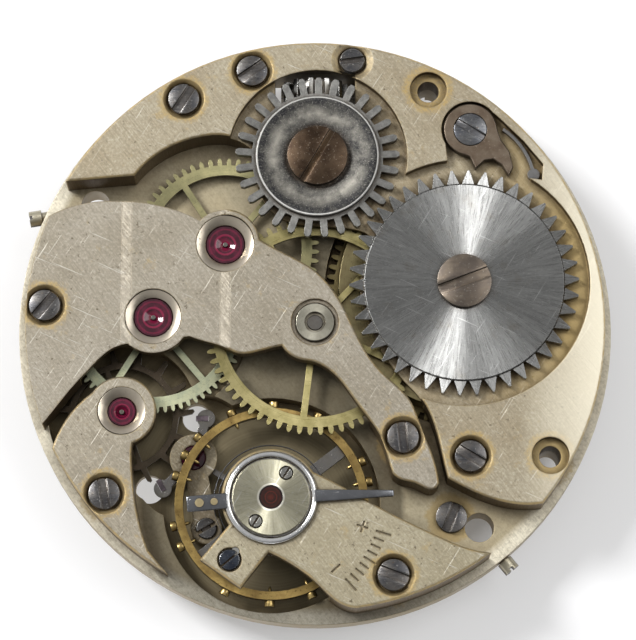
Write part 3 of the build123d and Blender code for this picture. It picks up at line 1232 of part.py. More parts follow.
# Balance
arm_angle = 37.5
rim_inner_r = balance_r - balance_rim_width
with BuildPart() as balance_wheel:
    with BuildSketch(deck(balance_rise)) as rim:
        with Locations(balance_at):
            Circle(balance_r)
            Circle(rim_inner_r, mode=Mode.SUBTRACT)
    extrude(rim.sketch, amount=balance_thick)
balance_wheel.part.label = "balance_rim"

staff_seat_r, roller_seat_r = 0.30, 0.24
with BuildPart() as balance_arms:
    with BuildSketch(deck(balance_arm_rise)) as arms:
        with Locations(Location((*balance_at, 0), (0, 0, arm_angle))):
            Rectangle(2 * rim_inner_r - 2 * seat_gap, balance_arm_width)
        with Locations(balance_at):
            Circle(rim_inner_r - seat_gap, mode=Mode.INTERSECT)
            Circle(balance_hub_r)
            Circle(staff_seat_r + seat_gap, mode=Mode.SUBTRACT)
    extrude(arms.sketch, amount=balance_arm_thick)
balance_arms.part.label = "balance_arms"

balance_screw_angles = [13, 25.5, 62.4, 89, 113.8, 137.7, 150.4, 163.5]
with BuildPart() as balance_screws:
    for turn in balance_screw_angles:
        for side in (0, 180):
            side_bar(balance_at, turn + side, balance_screw_r, balance_r + seat_gap,
                     balance_r + balance_screw_out, balance_rise + balance_thick / 2)
balance_screws.part.label = "balance_screws"

roller_rise, roller_thick, roller_r, impulse_radius, impulse_r = 1.24, 0.18, 0.85, 0.62, 0.08
staff_top, collet_rise, collet_thick, collet_r = 2.70, 2.34, 0.26, 0.42
with BuildPart() as balance_staff:
    disc(balance_at, balance_pivot_r, lower_cap_thick + seat_gap, cock_top - running_gap)
    disc(balance_at, roller_seat_r, escapement_floor + running_gap, staff_top)
    disc(balance_at, staff_seat_r, roller_rise + roller_thick, collet_rise - running_gap)
balance_staff.part.label = "balance_staff"

with BuildPart() as roller:
    disc(balance_at, roller_r, roller_rise, roller_rise + roller_thick - seat_gap)
    bored(balance_at, roller_seat_r + seat_gap, roller_rise, roller_rise + roller_thick)
roller.part.label = "roller"

impulse_at = polar(balance_at, impulse_radius, fork_heading + 180)
with BuildPart() as impulse_jewel:
    disc(impulse_at, impulse_r, escape_rise - running_gap, roller_rise)
impulse_jewel.part.label = "impulse_jewel"

with BuildPart() as collet:
    disc(balance_at, collet_r, collet_rise, collet_rise + collet_thick)
    bored(balance_at, roller_seat_r + seat_gap, collet_rise, collet_rise + collet_thick)
collet.part.label = "hairspring_collet"

hairspring_width, hairspring_pitch, hairspring_turns, stud_lead = 0.04, 0.46, 4, 6
with BuildPart() as hairspring:
    hairspring_rows = spiral(balance_at, collet_r + hairspring_width, hairspring_pitch, hairspring_turns,
                             hairspring_width, hairspring_rise, hairspring_tall, stud_angle - stud_lead)
hairspring.part.label = "hairspring"
print("hairspring least gap", round(least_gap(hairspring_rows, hairspring_width), 3))

with BuildPart() as hairspring_stud:
    disc(stud_at, stud_r, hairspring_rise - body_gap, cock_top - running_gap)
hairspring_stud.part.label = "hairspring_stud"

with BuildPart() as stud_screw:
    screw(placed(stud_share), cock_top + running_gap, stud_screw_turn, cap_head_thick + overrun, stud_screw_r,
          cap_head_thick, shank_r - 2 * running_gap, small_slot)
stud_screw.part.label = "stud_screw"

regulator_rise, regulator_thick, regulator_in_r, regulator_out_r = 3.42, 0.18, 1.57, 1.83
pointer_r, pointer_angle, pointer_wide, pointer_fine = 4.80, 2.0, 0.50, 0.26
tail_r, tail_angle, tail_wide, tail_seam = 3.30, 184.7, 0.62, 0.05
with BuildPart() as regulator:
    with BuildSketch(deck(regulator_rise)) as shape:
        with Locations(balance_at):
            Circle(regulator_out_r)
        root = polar(balance_at, regulator_in_r, pointer_angle)
        point = polar(balance_at, pointer_r, pointer_angle)
        with BuildLine():
            Polyline(polar(root, pointer_wide / 2, pointer_angle + 90),
                     polar(point, pointer_fine / 2, pointer_angle + 90),
                     polar(point, pointer_fine / 2, pointer_angle - 90),
                     polar(root, pointer_wide / 2, pointer_angle - 90), close=True)
        make_face()
        with Locations(Location((*polar(balance_at, tail_r / 2, tail_angle), 0), (0, 0, tail_angle))):
            Rectangle(tail_r, tail_wide)
        with Locations(balance_at):
            Circle(regulator_in_r, mode=Mode.SUBTRACT)
    extrude(shape.sketch, amount=regulator_thick)
    chamfer(top_edges(regulator.part), edge_break)
regulator.part.label = "regulator"

outer_rivet, outer_rivet_r, inner_rivet, inner_rivet_r = 2.80, 0.17, 2.22, 0.14
rivet_thick, curb_r, curb_middle, curb_half = 0.05, 0.055, 2.264, 0.10
regulator_top = regulator_rise + regulator_thick
with BuildPart() as regulator_pins:
    for reach, radius in ((outer_rivet, outer_rivet_r), (inner_rivet, inner_rivet_r)):
        disc(polar(balance_at, reach, tail_angle), radius, regulator_top, regulator_top + rivet_thick)
    for reach in (curb_middle - curb_half, curb_middle + curb_half):
        disc(polar(balance_at, reach, tail_angle), curb_r, hairspring_rise - running_gap, regulator_rise)
regulator_pins.part.label = "regulator_pins"

# One file for each piece
pieces = [
    main_plate, barrel_bridge, train_bridge, escape_cock, balance_cock, pallet_cock, bridge_screws,
    small_screws, foot_screw_pair, train_jewels, pallet_jewels, balance_jewels, cap_jewels, balance_caps,
    cap_screws, centre_bush, barrel_drum, barrel_lid, barrel_arbor, mainspring, ratchet_wheel, ratchet_screw, crown_wheel,
    crown_screw, click, click_screw, click_spring, winding_pinion, sliding_pinion, setting_lever,
    setting_lever_screw, yoke, yoke_spring, setting_bridge, setting_wheel, minute_wheel, hour_wheel,
    cannon_pinion, centre_pinion, centre_wheel, third_pinion, third_wheel, fourth_pinion, fourth_wheel,
    escape_pinion, escape_wheel, pallet_fork, pallet_stones, balance_wheel, balance_arms, balance_screws,
    balance_staff, roller, impulse_jewel, collet, hairspring, hairspring_stud, stud_screw, regulator,
    regulator_pins,
]
os.makedirs("parts", exist_ok=True)
for piece in pieces:
    export_step(piece.part, f"parts/{piece.part.label}.step")
print("pieces", len(pieces))
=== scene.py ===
# %% [markdown]
# # A hand-wound watch movement on white paper
# The frame holds every plate, bridge, wheel and screw at its true size. This lesson leaves
# most of the solid shapes alone and gives them what a watchmaker's loupe shows: plated
# grain, worn gilt edges, sunburst steel, ruby, brass, and a century of brown dirt in every
# corner, darkened further by painted shade. Screw heads, jewel settings, the regulator and
# the hairspring are finer than the solids, so they are modelled here and ride on the bodies
# that carry them.

# %% The frame
import bpy
import json
import math
from mathutils import Matrix, Vector


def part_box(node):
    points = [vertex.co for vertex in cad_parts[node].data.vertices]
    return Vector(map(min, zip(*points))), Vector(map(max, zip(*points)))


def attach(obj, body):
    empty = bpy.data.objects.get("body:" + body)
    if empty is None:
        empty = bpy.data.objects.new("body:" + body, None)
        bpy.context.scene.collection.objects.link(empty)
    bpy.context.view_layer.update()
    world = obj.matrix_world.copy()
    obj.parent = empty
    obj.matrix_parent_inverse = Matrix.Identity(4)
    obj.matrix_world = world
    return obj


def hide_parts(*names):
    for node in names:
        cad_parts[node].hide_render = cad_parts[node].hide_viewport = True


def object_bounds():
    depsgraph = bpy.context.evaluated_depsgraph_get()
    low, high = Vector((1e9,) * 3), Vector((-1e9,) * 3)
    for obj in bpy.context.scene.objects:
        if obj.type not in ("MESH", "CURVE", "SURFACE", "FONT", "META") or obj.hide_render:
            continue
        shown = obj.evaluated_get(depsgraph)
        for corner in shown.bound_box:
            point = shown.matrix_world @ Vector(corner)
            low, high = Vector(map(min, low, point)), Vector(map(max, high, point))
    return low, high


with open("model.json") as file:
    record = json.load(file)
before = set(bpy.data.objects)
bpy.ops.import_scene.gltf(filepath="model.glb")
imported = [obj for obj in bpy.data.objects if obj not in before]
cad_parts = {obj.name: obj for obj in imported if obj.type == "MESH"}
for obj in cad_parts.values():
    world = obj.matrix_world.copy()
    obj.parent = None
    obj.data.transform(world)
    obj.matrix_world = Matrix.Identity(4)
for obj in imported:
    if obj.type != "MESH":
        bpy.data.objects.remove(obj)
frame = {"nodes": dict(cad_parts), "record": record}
cad_low, cad_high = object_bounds()
parts = frame["nodes"]
mm = 0.001
print("pieces in the frame:", len(parts))

# %% [markdown]
# ## Where things are
# A wheel's middle is the middle of its box, because its teeth go all the way round. These
# helpers give that middle, the foot, the top and half the width of a piece, in metres.


# %% Places
def middle(name):
    """The middle of a piece's box."""
    low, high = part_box(name)
    return (Vector(low) + Vector(high)) / 2


def foot_of(name):
    """The height of a piece's lowest point."""
    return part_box(name)[0][2]


def top_of(name):
    """The height of a piece's highest point."""
    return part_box(name)[1][2]


def half_width(name):
    """Half of a round piece's width."""
    low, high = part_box(name)
    return (high[0] - low[0]) / 2


balance_middle = middle("balance_rim")
print("balance staff at", [round(v / mm, 2) for v in balance_middle])

# %% [markdown]
# ## A kit for materials
# A procedural finish is a small graph of nodes. One helper adds a node, fills its sockets
# and links what is already a socket. A step is a node that joins the tree of what it links,
# and the rest are single steps: arithmetic, a mask from a range, noise, and coats of colour
# laid over each other.


# %% Node helpers
def put(tree, kind, sockets=None, **settings):
    """A new node with its settings and sockets filled."""
    made = tree.nodes.new(kind)
    for key, value in settings.items():
        setattr(made, key, value)
    for key, value in (sockets or {}).items():
        if isinstance(value, bpy.types.NodeSocket):
            tree.links.new(value, made.inputs[key])
        else:
            made.inputs[key].default_value = value
    return made


def step(kind, sockets, **settings):
    """A new node in the tree of the sockets that it links."""
    tree = next(value.id_data for value in sockets.values() if isinstance(value, bpy.types.NodeSocket))
    return put(tree, kind, sockets, **settings)


def maths(operation, first, second=0.0, clamp=False):
    """One step of arithmetic."""
    return step("ShaderNodeMath", {0: first, 1: second}, operation=operation, use_clamp=clamp).outputs[0]


def times(first, second):
    """Two values multiplied."""
    return maths("MULTIPLY", first, second)


def vector(operation, first, second=(0.0, 0.0, 0.0), out="Vector"):
    """One step of arithmetic on a place or a colour."""
    return step("ShaderNodeVectorMath", {0: first, 1: second}, operation=operation).outputs[out]


def axis(place, number):
    """One of the three numbers of a place."""
    return step("ShaderNodeSeparateXYZ", {0: place}).outputs[number]


def between(value, low, high, low_out=0.0, high_out=1.0):
    """A value moved from one range to another, and kept inside it."""
    sockets = {0: value, 1: low, 2: high, 3: low_out, 4: high_out}
    return step("ShaderNodeMapRange", sockets, clamp=True).outputs[0]


def line_at(value, spot, half, soft, most=1.0):
    """A mask that is strong where a value is near a spot."""
    off = maths("ABSOLUTE", maths("SUBTRACT", value, spot))
    return between(off, half, half + soft, most, 0.0)


# %% Colours and noise
def blend(factor, first, second):
    """Two colours mixed by a factor."""
    first, second = ((*colour, 1.0) if isinstance(colour, tuple) else colour for colour in (first, second))
    return step("ShaderNodeMix", {0: factor, 6: first, 7: second}, data_type="RGBA").outputs[2]


def coat(base, *coats):
    """A colour under coats of others, each with its mask and maybe a share of that mask."""
    for mask, colour, *share in coats:
        base = blend(times(mask, *share) if share else mask, base, colour)
    return base


def shaded(colour, share):
    """A colour at a share of its brightness."""
    return tuple(share * v for v in colour)


def grain(place, scale, detail=3.0, rough=0.6):
    """Noise of a scale given in cells per millimetre."""
    sockets = {"Vector": place, "Scale": scale, "Detail": detail, "Roughness": rough}
    return step("ShaderNodeTexNoise", sockets).outputs[0]


def circles(reach, *noise):
    """Noise read along the radius alone, so that it makes circles."""
    return grain(step("ShaderNodeCombineXYZ", {0: reach}).outputs[0], *noise)


def stretched(place, turn, stretch):
    """The place turned by some degrees, then stretched."""
    turned = step("ShaderNodeMapping", {"Vector": place, "Rotation": (0.0, 0.0, math.radians(turn))})
    return vector("MULTIPLY", turned.outputs[0], stretch)


def relief(height, depth, strength, soft):
    """A bump of a depth in millimetres, over rounded edges."""
    sockets = {"Height": height, "Distance": depth * mm, "Strength": strength, "Normal": soft}
    return step("ShaderNodeBump", sockets).outputs[0]


def dress(piece, material):
    """Gives a piece one material all over."""
    piece.data.materials.clear()
    piece.data.materials.append(material)


def material_of(name):
    """The material of a solid."""
    return parts[name].data.materials[0]


# %% [markdown]
# ## A skin for each piece
# Every finish starts alike: a material of its own for the piece, its shader, and the place
# on the piece, from Object coordinates turned into millimetres, so that a grain of 0.1 is a
# tenth of a millimetre on the real watch. The seed slides the pattern, so that two bridges
# cut from the same strip never show the same spots.
#
# Every finish ends alike too, with worn edges and darkened corners. Sharp edges are never
# truly sharp: the Bevel node rounds them in the shading, and where its normal leaves the
# face's own normal there is an edge to wear bright. Corners hold dirt and shade: Ambient
# Occlusion says how closed in a point is, and what is closed in turns brown, which is brown
# dirt and painted shade in one colour. Both follow the shapes by themselves, so no mask is
# drawn. An edge is given by its radius, its colour and how much of it shows, the dirt and
# painted shade by their reach and strength, the relief by its depth and strength.

# %% Skin
# The brown for closed corners is dirt and painted shade together.
seed_step, edge_run, closed_run, soil_and_shade = 7.3, (0.80, 0.985), (0.30, 0.92), (0.060, 0.036, 0.016)


class Skin:
    """A new material for a piece, and the place on the piece in millimetres."""

    def __init__(self, name, seed=0):
        self.name = name
        self.material = bpy.data.materials.new(name)
        self.material.use_nodes = True
        self.tree = self.material.node_tree
        self.shader = self.tree.nodes["Principled BSDF"]
        coords = put(self.tree, "ShaderNodeTexCoord").outputs["Object"]
        self.scaled = vector("MULTIPLY", coords, (1 / mm,) * 3)
        self.place = vector("ADD", self.scaled, (seed * seed_step, -seed * seed_step, 0.0))

    def patches(self, scale, detail, rough, *run):
        """A mask of patches: noise moved to a range."""
        return between(grain(self.place, scale, detail, rough), *run)

    def normal(self):
        """The way a face looks."""
        return put(self.tree, "ShaderNodeNewGeometry").outputs["True Normal"]

    def upward(self):
        """How far a face looks up: 1 on top, 0 on a wall."""
        return axis(self.normal(), 2)

    def rounded(self, radius):
        """A normal that rounds every edge, with a mask of those edges."""
        soft = put(self.tree, "ShaderNodeBevel", {"Radius": radius * mm}, samples=4).outputs[0]
        along = vector("DOT_PRODUCT", soft, self.normal(), "Value")
        return soft, between(along, *edge_run, 1.0, 0.0)

    def soiled_and_shaded(self, colour, reach, most):
        """A colour browned in its corners by grime and painted shade, patchy as grime is."""
        # Painted shade and dirt together: what Ambient Occlusion finds closed in turns brown.
        corner = put(self.tree, "ShaderNodeAmbientOcclusion", {"Distance": reach * mm}, samples=6)
        closed = between(corner.outputs["AO"], *closed_run, most, 0.0)
        return coat(colour, (closed, soil_and_shade, self.patches(3.0, 4.0, 0.65, 0.30, 0.60, 0.60, 1.0)))

    def feed(self, **sockets):
        """Fills the shader's sockets, by link or by value."""
        for key, value in sockets.items():
            socket = self.shader.inputs[key.replace("_", " ")]
            if isinstance(value, bpy.types.NodeSocket):
                self.tree.links.new(value, socket)
            elif isinstance(value, tuple):
                socket.default_value = (*value, 1.0)
            else:
                socket.default_value = value

    def wear(self, metal, edge, dirt_and_shade, height, bump, metallic=1.0, **sockets):
        """Ends a finish with worn edges, corners browned by grime and painted shade, and a relief, and
        dresses its solid.
        """
        radius, line, share = edge
        soft, mask = self.rounded(radius)
        self.feed(Base_Color=self.soiled_and_shaded(coat(metal, (mask, line, share)), *dirt_and_shade), Metallic=metallic,
                  Normal=relief(height, *bump, soft), **sockets)
        if self.name in parts:
            dress(parts[self.name], self.material)


# %% [markdown]
# ## Rings round the screws
# Damp and old oil sit under a screw head and eat the plating round it, so every screw has a
# ragged golden ring. The ring follows the distance to the nearest screw. The screws share a
# node, so their places are read from its corners, put together where they are close.

# %% Rings
screw_sink_r, ring_wide, screws_apart = 0.86, 0.80, 1.4 * mm


def from_axis(skin, centre):
    """The level way from an upright axis to a point, in millimetres."""
    away = vector("SUBTRACT", skin.scaled, tuple(v / mm for v in centre))
    return vector("MULTIPLY", away, (1.0, 1.0, 0.0))


def length(way):
    """How long a way is."""
    return vector("LENGTH", way, out="Value")


def nearest(skin, axes):
    """How far the nearest of several upright axes is, as a share of its radius."""
    found = None
    for centre, radius in axes:
        reach = times(length(from_axis(skin, centre)), mm / radius)
        found = reach if found is None else maths("MINIMUM", found, reach)
    return found


def screw_corners(name, apart):
    """A node's corners, put together by screw."""
    groups = []
    for corner in parts[name].data.vertices:
        for group in groups:
            if math.hypot(corner.co.x - group[0].x, corner.co.y - group[0].y) < apart:
                group.append(corner.co)
                break
        else:
            groups.append([corner.co])
    return groups


def screw_middle(corners):
    """The middle of one screw, seen from above."""
    low, high = (Vector((side(c.x for c in corners), side(c.y for c in corners), 0.0)) for side in (min, max))
    return (low + high) / 2


def corroded(skin):
    """A ragged ring round each screw."""
    wavy = times(grain(skin.place, 3.6, 6.0, 0.78), ring_wide)
    ragged = maths("SUBTRACT", nearest(skin, [(spot, mm) for spot in screw_spots]), wavy)
    return between(ragged, screw_sink_r - 0.45 * ring_wide, screw_sink_r - 0.25 * ring_wide, 1.0, 0.0)


mounts = frame["record"]["mounts"]
case_holes = [Vector(mount["pos_m"]) for mount in mounts if mount["name"].startswith("case_screw")]
screw_spots = [screw_middle(corners) for corners in screw_corners("bridge_screws", screws_apart)] + case_holes
print("screws at", [(round(s.x / mm, 1), round(s.y / mm, 1)) for s in screw_spots])

# %% [markdown]
# ## Matt nickel bridges
# The bridges are nickel-plated brass, brushed matt on a slant and a century old. The layers
# tell that story: fine slanting strokes, a mottle of dull and bright grains, cloudy patches
# where the plating has warmed, dark specks, golden blots, crossing scratches, gold on every
# worn edge and brown dirt round the screws, with painted shade in the corners. The walls are
# painted dark brown, a painted shade. Two low ramps cross the train bridge. They face the
# window and would flash white, so their plating is painted darker than the rest, a painted
# shade. The barrel bridge is painted paler at its right end, a painted light, and its sunk
# floor there is painted golden brown, a painted shade.

# %% Plated face
scratch_stretch, scratch_turns, scratch_run = (0.30, 9.0, 1.0), (24.0, -58.0), (0.68, 0.72)
stroke_turn, stroke_stretch = 52.0, (1.2, 22.0, 1.0)
bright_line, speck_brown, gilt_blot = (0.74, 0.71, 0.63), (0.10, 0.075, 0.045), (0.44, 0.315, 0.125)


def scratches(skin):
    """Thin bright lines in two directions."""
    runs = [stretched(skin.place, turn, scratch_stretch) for turn in scratch_turns]
    return maths("ADD", *(between(grain(run, 1.6, 2.0, 0.5), *scratch_run) for run in runs), clamp=True)


def brush_strokes(skin):
    """Fine slanting strokes."""
    return grain(stretched(skin.place, stroke_turn, stroke_stretch), 1.0, 4.0, 0.7)


def dimmed(mask, colour, share):
    """A colour at a share of its brightness where a mask says so, a painted shade."""
    return blend(mask, colour, vector("MULTIPLY", colour, (share,) * 3))


def plated_face(skin, plating, warm):
    """The top of a bridge: its colour, its fine relief and its roughness."""
    strokes, mottle, marks = brush_strokes(skin), grain(skin.place, 9.0, 6.0, 0.78), scratches(skin)
    face = coat(
        plating,
        (skin.patches(0.40, 5.0, 0.62, 0.38, 0.64), warm),
        (between(strokes, 0.35, 0.65, 0.60, 0.0), shaded(warm, 0.62)),
        (between(mottle, 0.36, 0.54, 0.55, 0.0), shaded(warm, 0.62)),
        (between(mottle, 0.54, 0.68, 0.0, 0.30), bright_line),
        (skin.patches(1.5, 6.0, 0.72, 0.60, 0.70), gilt_blot, 0.45),
        (skin.patches(4.6, 4.0, 0.7, 0.62, 0.68), speck_brown, 0.8),
        (marks, bright_line, 0.45),
        (corroded(skin), gilt_blot, between(mottle, 0.42, 0.58, 0.25, 0.90)),
    )
    height = maths("ADD", maths("ADD", strokes, mottle), times(marks, -0.5))
    return face, height, between(strokes, 0.3, 0.7, 0.58, 0.42)


# %% Nickel finish
ramp_shade_share, bridge_rounding = 0.60, 0.09
bridge_wall_shade, gilt_bevel = (0.14, 0.10, 0.055), (0.58, 0.44, 0.22)
# The barrel bridge's right end gets painted light, and its sunk floor there painted shade.
painted_light_run, painted_light_nickel = (8.0, 11.3), (0.88, 0.82, 0.66)
recess_shade_run, recess_shade_gold = (6.5, 10.0), (0.36, 0.25, 0.08)


def painted_right_end(skin, face, top, share):
    """A face with painted light towards its right end, and painted golden-brown shade where it is sunk."""
    across = axis(skin.scaled, 0)
    sunk = between(axis(skin.scaled, 2), top - 0.20, top - 0.10, 1.0, 0.0)
    # Painted light to the right, and painted golden-brown shade on the sunk floor.
    return coat(face, (between(across, *painted_light_run, 0.0, share), painted_light_nickel),
                (sunk, recess_shade_gold, between(across, *recess_shade_run, 0.15, 0.85)))


def nickel(name, seed, plating, warm, painted_light_end=0.0):
    """Matt plated bridge metal with gilt edges, with painted light at its right end by some share."""
    skin = Skin(name, seed)
    face, height, rough = plated_face(skin, plating, warm)
    if painted_light_end:
        face = painted_right_end(skin, face, top_of(name) / mm, painted_light_end)
    look = skin.upward()
    # The ramps face the window, so their plating is painted darker, a painted shade against the flash.
    ramp = times(between(look, 0.86, 0.90), between(look, 0.985, 0.955))
    # Walls are painted dark brown, a painted shade.
    side = blend(between(look, 0.05, 0.30), bridge_wall_shade, dimmed(ramp, face, ramp_shade_share))
    sloped = times(between(look, 0.25, 0.45), between(look, 0.90, 0.84))
    soft, edge = skin.rounded(bridge_rounding)
    worn = skin.patches(2.2, 4.0, 0.65, 0.34, 0.62, 0.20, 0.95)
    colour = coat(side, (maths("MAXIMUM", sloped, edge), gilt_bevel, worn))
    skin.feed(Base_Color=skin.soiled_and_shaded(colour, 0.42, 0.94), Metallic=0.85, Roughness=rough,
              Normal=relief(height, 0.012, 0.6, soft))
    dress(parts[name], skin.material)


stone_warm = (0.345, 0.305, 0.235)
nickel("barrel_bridge", 1, (0.47, 0.42, 0.315), (0.38, 0.32, 0.22), 0.85)
nickel("train_bridge", 2, (0.43, 0.39, 0.32), stone_warm)
nickel("escape_cock", 3, (0.46, 0.41, 0.32), stone_warm)
nickel("balance_cock", 4, (0.48, 0.43, 0.31), (0.40, 0.35, 0.24))
# The pallet cock lies deep in the movement, so its plating is painted darker, a painted shade.
nickel("pallet_cock", 5, (0.30, 0.26, 0.18), (0.22, 0.18, 0.12))
print("bridges finished")

# %% [markdown]
# The main plate is the same metal, but what shows of it is mostly the turned floor of its
# pockets. Little light gets down there and no cloth either, so the floor is painted dark
# brown, part dirt and part painted shade, with rings from the cutter round the balance. The
# plate's top is painted darker too, a painted shade, under the wheels, round the balance and
# at its lower end, and only its rim stays pale. Its walls are painted brown, a painted shade.

# %% Plate finish
plate_top, plate_warm = (0.56, 0.49, 0.34), (0.44, 0.37, 0.24)
pocket_floor, pocket_ring = (0.150, 0.120, 0.072), (0.26, 0.22, 0.135)
plate_shade, wheel_shade_run, low_shade_run = 0.42, (3.2, 4.1), (-11.4, -9.6)
balance_shade_run, rim_run, rim_pale = (5.10, 5.35), (11.15, 11.45), (0.92, 0.86, 0.70)
plate_wall_shade, plate_rounding = (0.34, 0.27, 0.16), 0.05


def finish_plate():
    """The plate: turned brown pockets, a pale top and a gilt rim, with painted shade in places."""
    skin = Skin("main_plate", 6)
    reach, centre_reach = (length(from_axis(skin, spot)) for spot in (balance_middle, (0.0, 0.0, 0.0)))
    strokes, mottle = brush_strokes(skin), grain(skin.place, 6.5, 6.0, 0.78)
    clouds, turned = skin.patches(0.6, 5.0, 0.62, 0.36, 0.66), circles(reach, 9.0, 2.0, 0.5)
    level = foot_of("train_bridge") / mm
    floor = between(axis(skin.scaled, 2), level - 0.12, level - 0.02, 1.0, 0.0)
    # Painted shade on the top: darker under the wheels, at its lower end and round the balance.
    dull = between(centre_reach, *wheel_shade_run, 1.0, 0.0)
    dull = maths("MAXIMUM", dull, between(axis(skin.scaled, 1), *low_shade_run, 1.0, 0.0))
    dull = maths("MAXIMUM", dull, between(reach, *balance_shade_run, 1.0, 0.0))
    top = coat(
        plate_top,
        (clouds, plate_warm),
        (between(centre_reach, *rim_run), rim_pale),
        (between(strokes, 0.35, 0.70, 0.35, 0.0), shaded(plate_warm, 0.7)),
        (between(mottle, 0.36, 0.54, 0.45, 0.0), shaded(plate_warm, 0.6)),
    )
    top = coat(dimmed(dull, top, plate_shade), (corroded(skin), gilt_blot, 0.6))
    look = skin.upward()
    # Pocket floors are painted dark brown, part dirt and part painted shade.
    colour = coat(top, (floor, blend(turned, pocket_floor, pocket_ring), between(look, 0.4, 0.6)))
    # The walls are painted brown, a painted shade.
    colour = blend(between(look, 0.05, 0.3), plate_wall_shade, colour)
    bump = maths("ADD", maths("ADD", strokes, mottle), times(turned, 0.8))
    skin.wear(colour, (plate_rounding, gilt_bevel, 0.5), (0.80, 0.72), bump, (0.008, 0.5), metallic=0.88,
              Roughness=between(clouds, 0.0, 1.0, 0.36, 0.52))


finish_plate()
print("plate finished")

# %% [markdown]
# ## Steel with a direction
# The ratchet wheel is brushed from its middle outwards, so its shine opens like a fan as the
# light catches each stroke. Cycles does this with an anisotropic highlight that follows a
# tangent: the direction round the wheel's axis, worked out from the place on the wheel.
# The strokes themselves are noise read along the angle, stretched out along the radius.

# %% Brushed steel
stain_brown, dust_grey, scratch_white = (0.16, 0.13, 0.09), (0.62, 0.62, 0.60), (0.80, 0.80, 0.79)
lip_pale, lip_half, lip_soft = (0.86, 0.83, 0.72), 0.035, 0.020


def round_axis(skin):
    """The way from a piece's own axis, and the direction round that axis."""
    way = from_axis(skin, middle(skin.name))
    return way, vector("NORMALIZE", vector("CROSS_PRODUCT", (0.0, 0.0, 1.0), way))


def sunburst(name, seed, bright, dark, rough_low, rough_high, anisotropy, lip=None):
    """Steel brushed outwards from the middle of a wheel, with a pale lip round a hole."""
    skin = Skin(name, seed)
    way, tangent = round_axis(skin)
    reach, angle = length(way), maths("ARCTAN2", axis(way, 1), axis(way, 0))
    around = {0: maths("COSINE", angle), 1: maths("SINE", angle), 2: times(reach, 0.02)}
    fan = step("ShaderNodeCombineXYZ", around).outputs[0]
    strokes = grain(fan, 60.0, 4.0, 0.75)
    metal = coat(
        dark,
        (between(strokes, 0.32, 0.68), bright),
        (between(grain(fan, 4.0, 3.0, 0.6), 0.42, 0.60, 0.0, 0.5), dark),
        (skin.patches(1.3, 5.0, 0.65, 0.55, 0.74), stain_brown, 0.35),
        (skin.patches(11.0, 4.0, 0.78, 0.56, 0.68), dust_grey, 0.45),
        (scratches(skin), scratch_white, 0.5),
    )
    if lip:
        metal = coat(metal, (line_at(reach, lip, lip_half, lip_soft, 0.9), lip_pale))
    skin.wear(metal, (0.03, bright, 0.4), (0.30, 0.90), strokes, (0.005, 0.4), Anisotropic=anisotropy,
              Tangent=tangent, Roughness=between(strokes, 0.3, 0.7, rough_low, rough_high))


sunburst("ratchet_wheel", 11, (0.42, 0.42, 0.41), (0.19, 0.19, 0.185), 0.24, 0.34, anisotropy=1.0)

# %% [markdown]
# The crown wheel is the same steel left dull: a mottled, stained disc with one thin bright
# line, a painted highlight, where it turns over into the dish, a paler cloud in the dish, and
# worn grey teeth.

# %% Crown wheel
crown_line, line_half, line_soft, teeth_soft = 2.43, 0.03, 0.02, 0.12
crown_cloud, cloud_half = 1.75, 0.42
crown_dark, crown_stain = (0.032, 0.032, 0.034), (0.080, 0.077, 0.070)
crown_pale, crown_dust, crown_highlight_grey = (0.38, 0.36, 0.31), (0.42, 0.40, 0.36), (0.62, 0.61, 0.58)
tooth_dark, tooth_grey, tooth_edge = (0.15, 0.148, 0.14), (0.25, 0.245, 0.23), (0.50, 0.49, 0.46)


def finish_crown():
    """Stained steel with a painted highlight line."""
    skin = Skin("crown_wheel", 12)
    way, tangent = round_axis(skin)
    reach, spots = length(way), skin.patches(3.4, 6.0, 0.75, 0.42, 0.62)
    cloud = times(line_at(reach, crown_cloud, 0.0, cloud_half), skin.patches(1.1, 4.0, 0.6, 0.35, 0.60))
    metal = coat(
        crown_dark,
        (spots, crown_stain),
        (cloud, crown_pale, 0.85),
        (skin.patches(15.0, 4.0, 0.75, 0.54, 0.66), crown_dust, 0.4),
        (between(reach, crown_line, crown_line + teeth_soft), blend(spots, tooth_dark, tooth_grey)),
        # A painted highlight: one thin bright line where the disc turns over into the dish.
        (line_at(reach, crown_line, line_half, line_soft), crown_highlight_grey, 0.8),
    )
    skin.wear(metal, (0.04, tooth_edge, 0.45), (0.30, 0.85), spots, (0.008, 0.5), Anisotropic=0.3,
              Tangent=tangent, Roughness=between(spots, 0.0, 1.0, 0.46, 0.36))


finish_crown()
print("winding wheels finished")

# %% [markdown]
# ## Screws
# A screw head is turned on a lathe and tempered, so it is dark, with a bright worn line
# round its rim and along its slot, oil and dust in the slot itself, and painted shade on its
# walls, which are painted dark brown. Pale scuffs speckle the heads, and they serve as
# painted glints too. Several heads share one node, so a fine stretched grain stands in for
# each head's own lathe circles. The click is tempered steel too.

# %% Screw steel
lathe_stretch, rust, wall_shade_brown = (3.0, 26.0, 1.0), (0.15, 0.09, 0.045), (0.05, 0.04, 0.03)


def blued(name, seed, head, film_tone, rough_low, rough_high, line=(0.55, 0.54, 0.51)):
    """Polished tempered steel, bright on its worn edges, with painted shade on its walls and in its hollows.
    """
    skin = Skin(name, seed)
    lines = grain(stretched(skin.place, 0.0, lathe_stretch), 1.0)
    metal = coat(
        head,
        (skin.patches(1.8, 4.0, 0.6, 0.36, 0.66), film_tone),
        (skin.patches(7.0, 5.0, 0.7, 0.60, 0.74), rust, 0.6),
        # Pale scuffs that also stand as painted glints.
        (skin.patches(12.0, 3.0, 0.6, 0.62, 0.70), line, 0.50),
    )
    # Walls of head and slot are painted dark brown, a painted shade.
    metal = blend(between(skin.upward(), 0.2, 0.6), wall_shade_brown, metal)
    skin.wear(metal, (0.035, line, 0.85), (0.24, 0.95), lines, (0.003, 0.4),
              Roughness=between(lines, 0.3, 0.7, rough_low, rough_high))


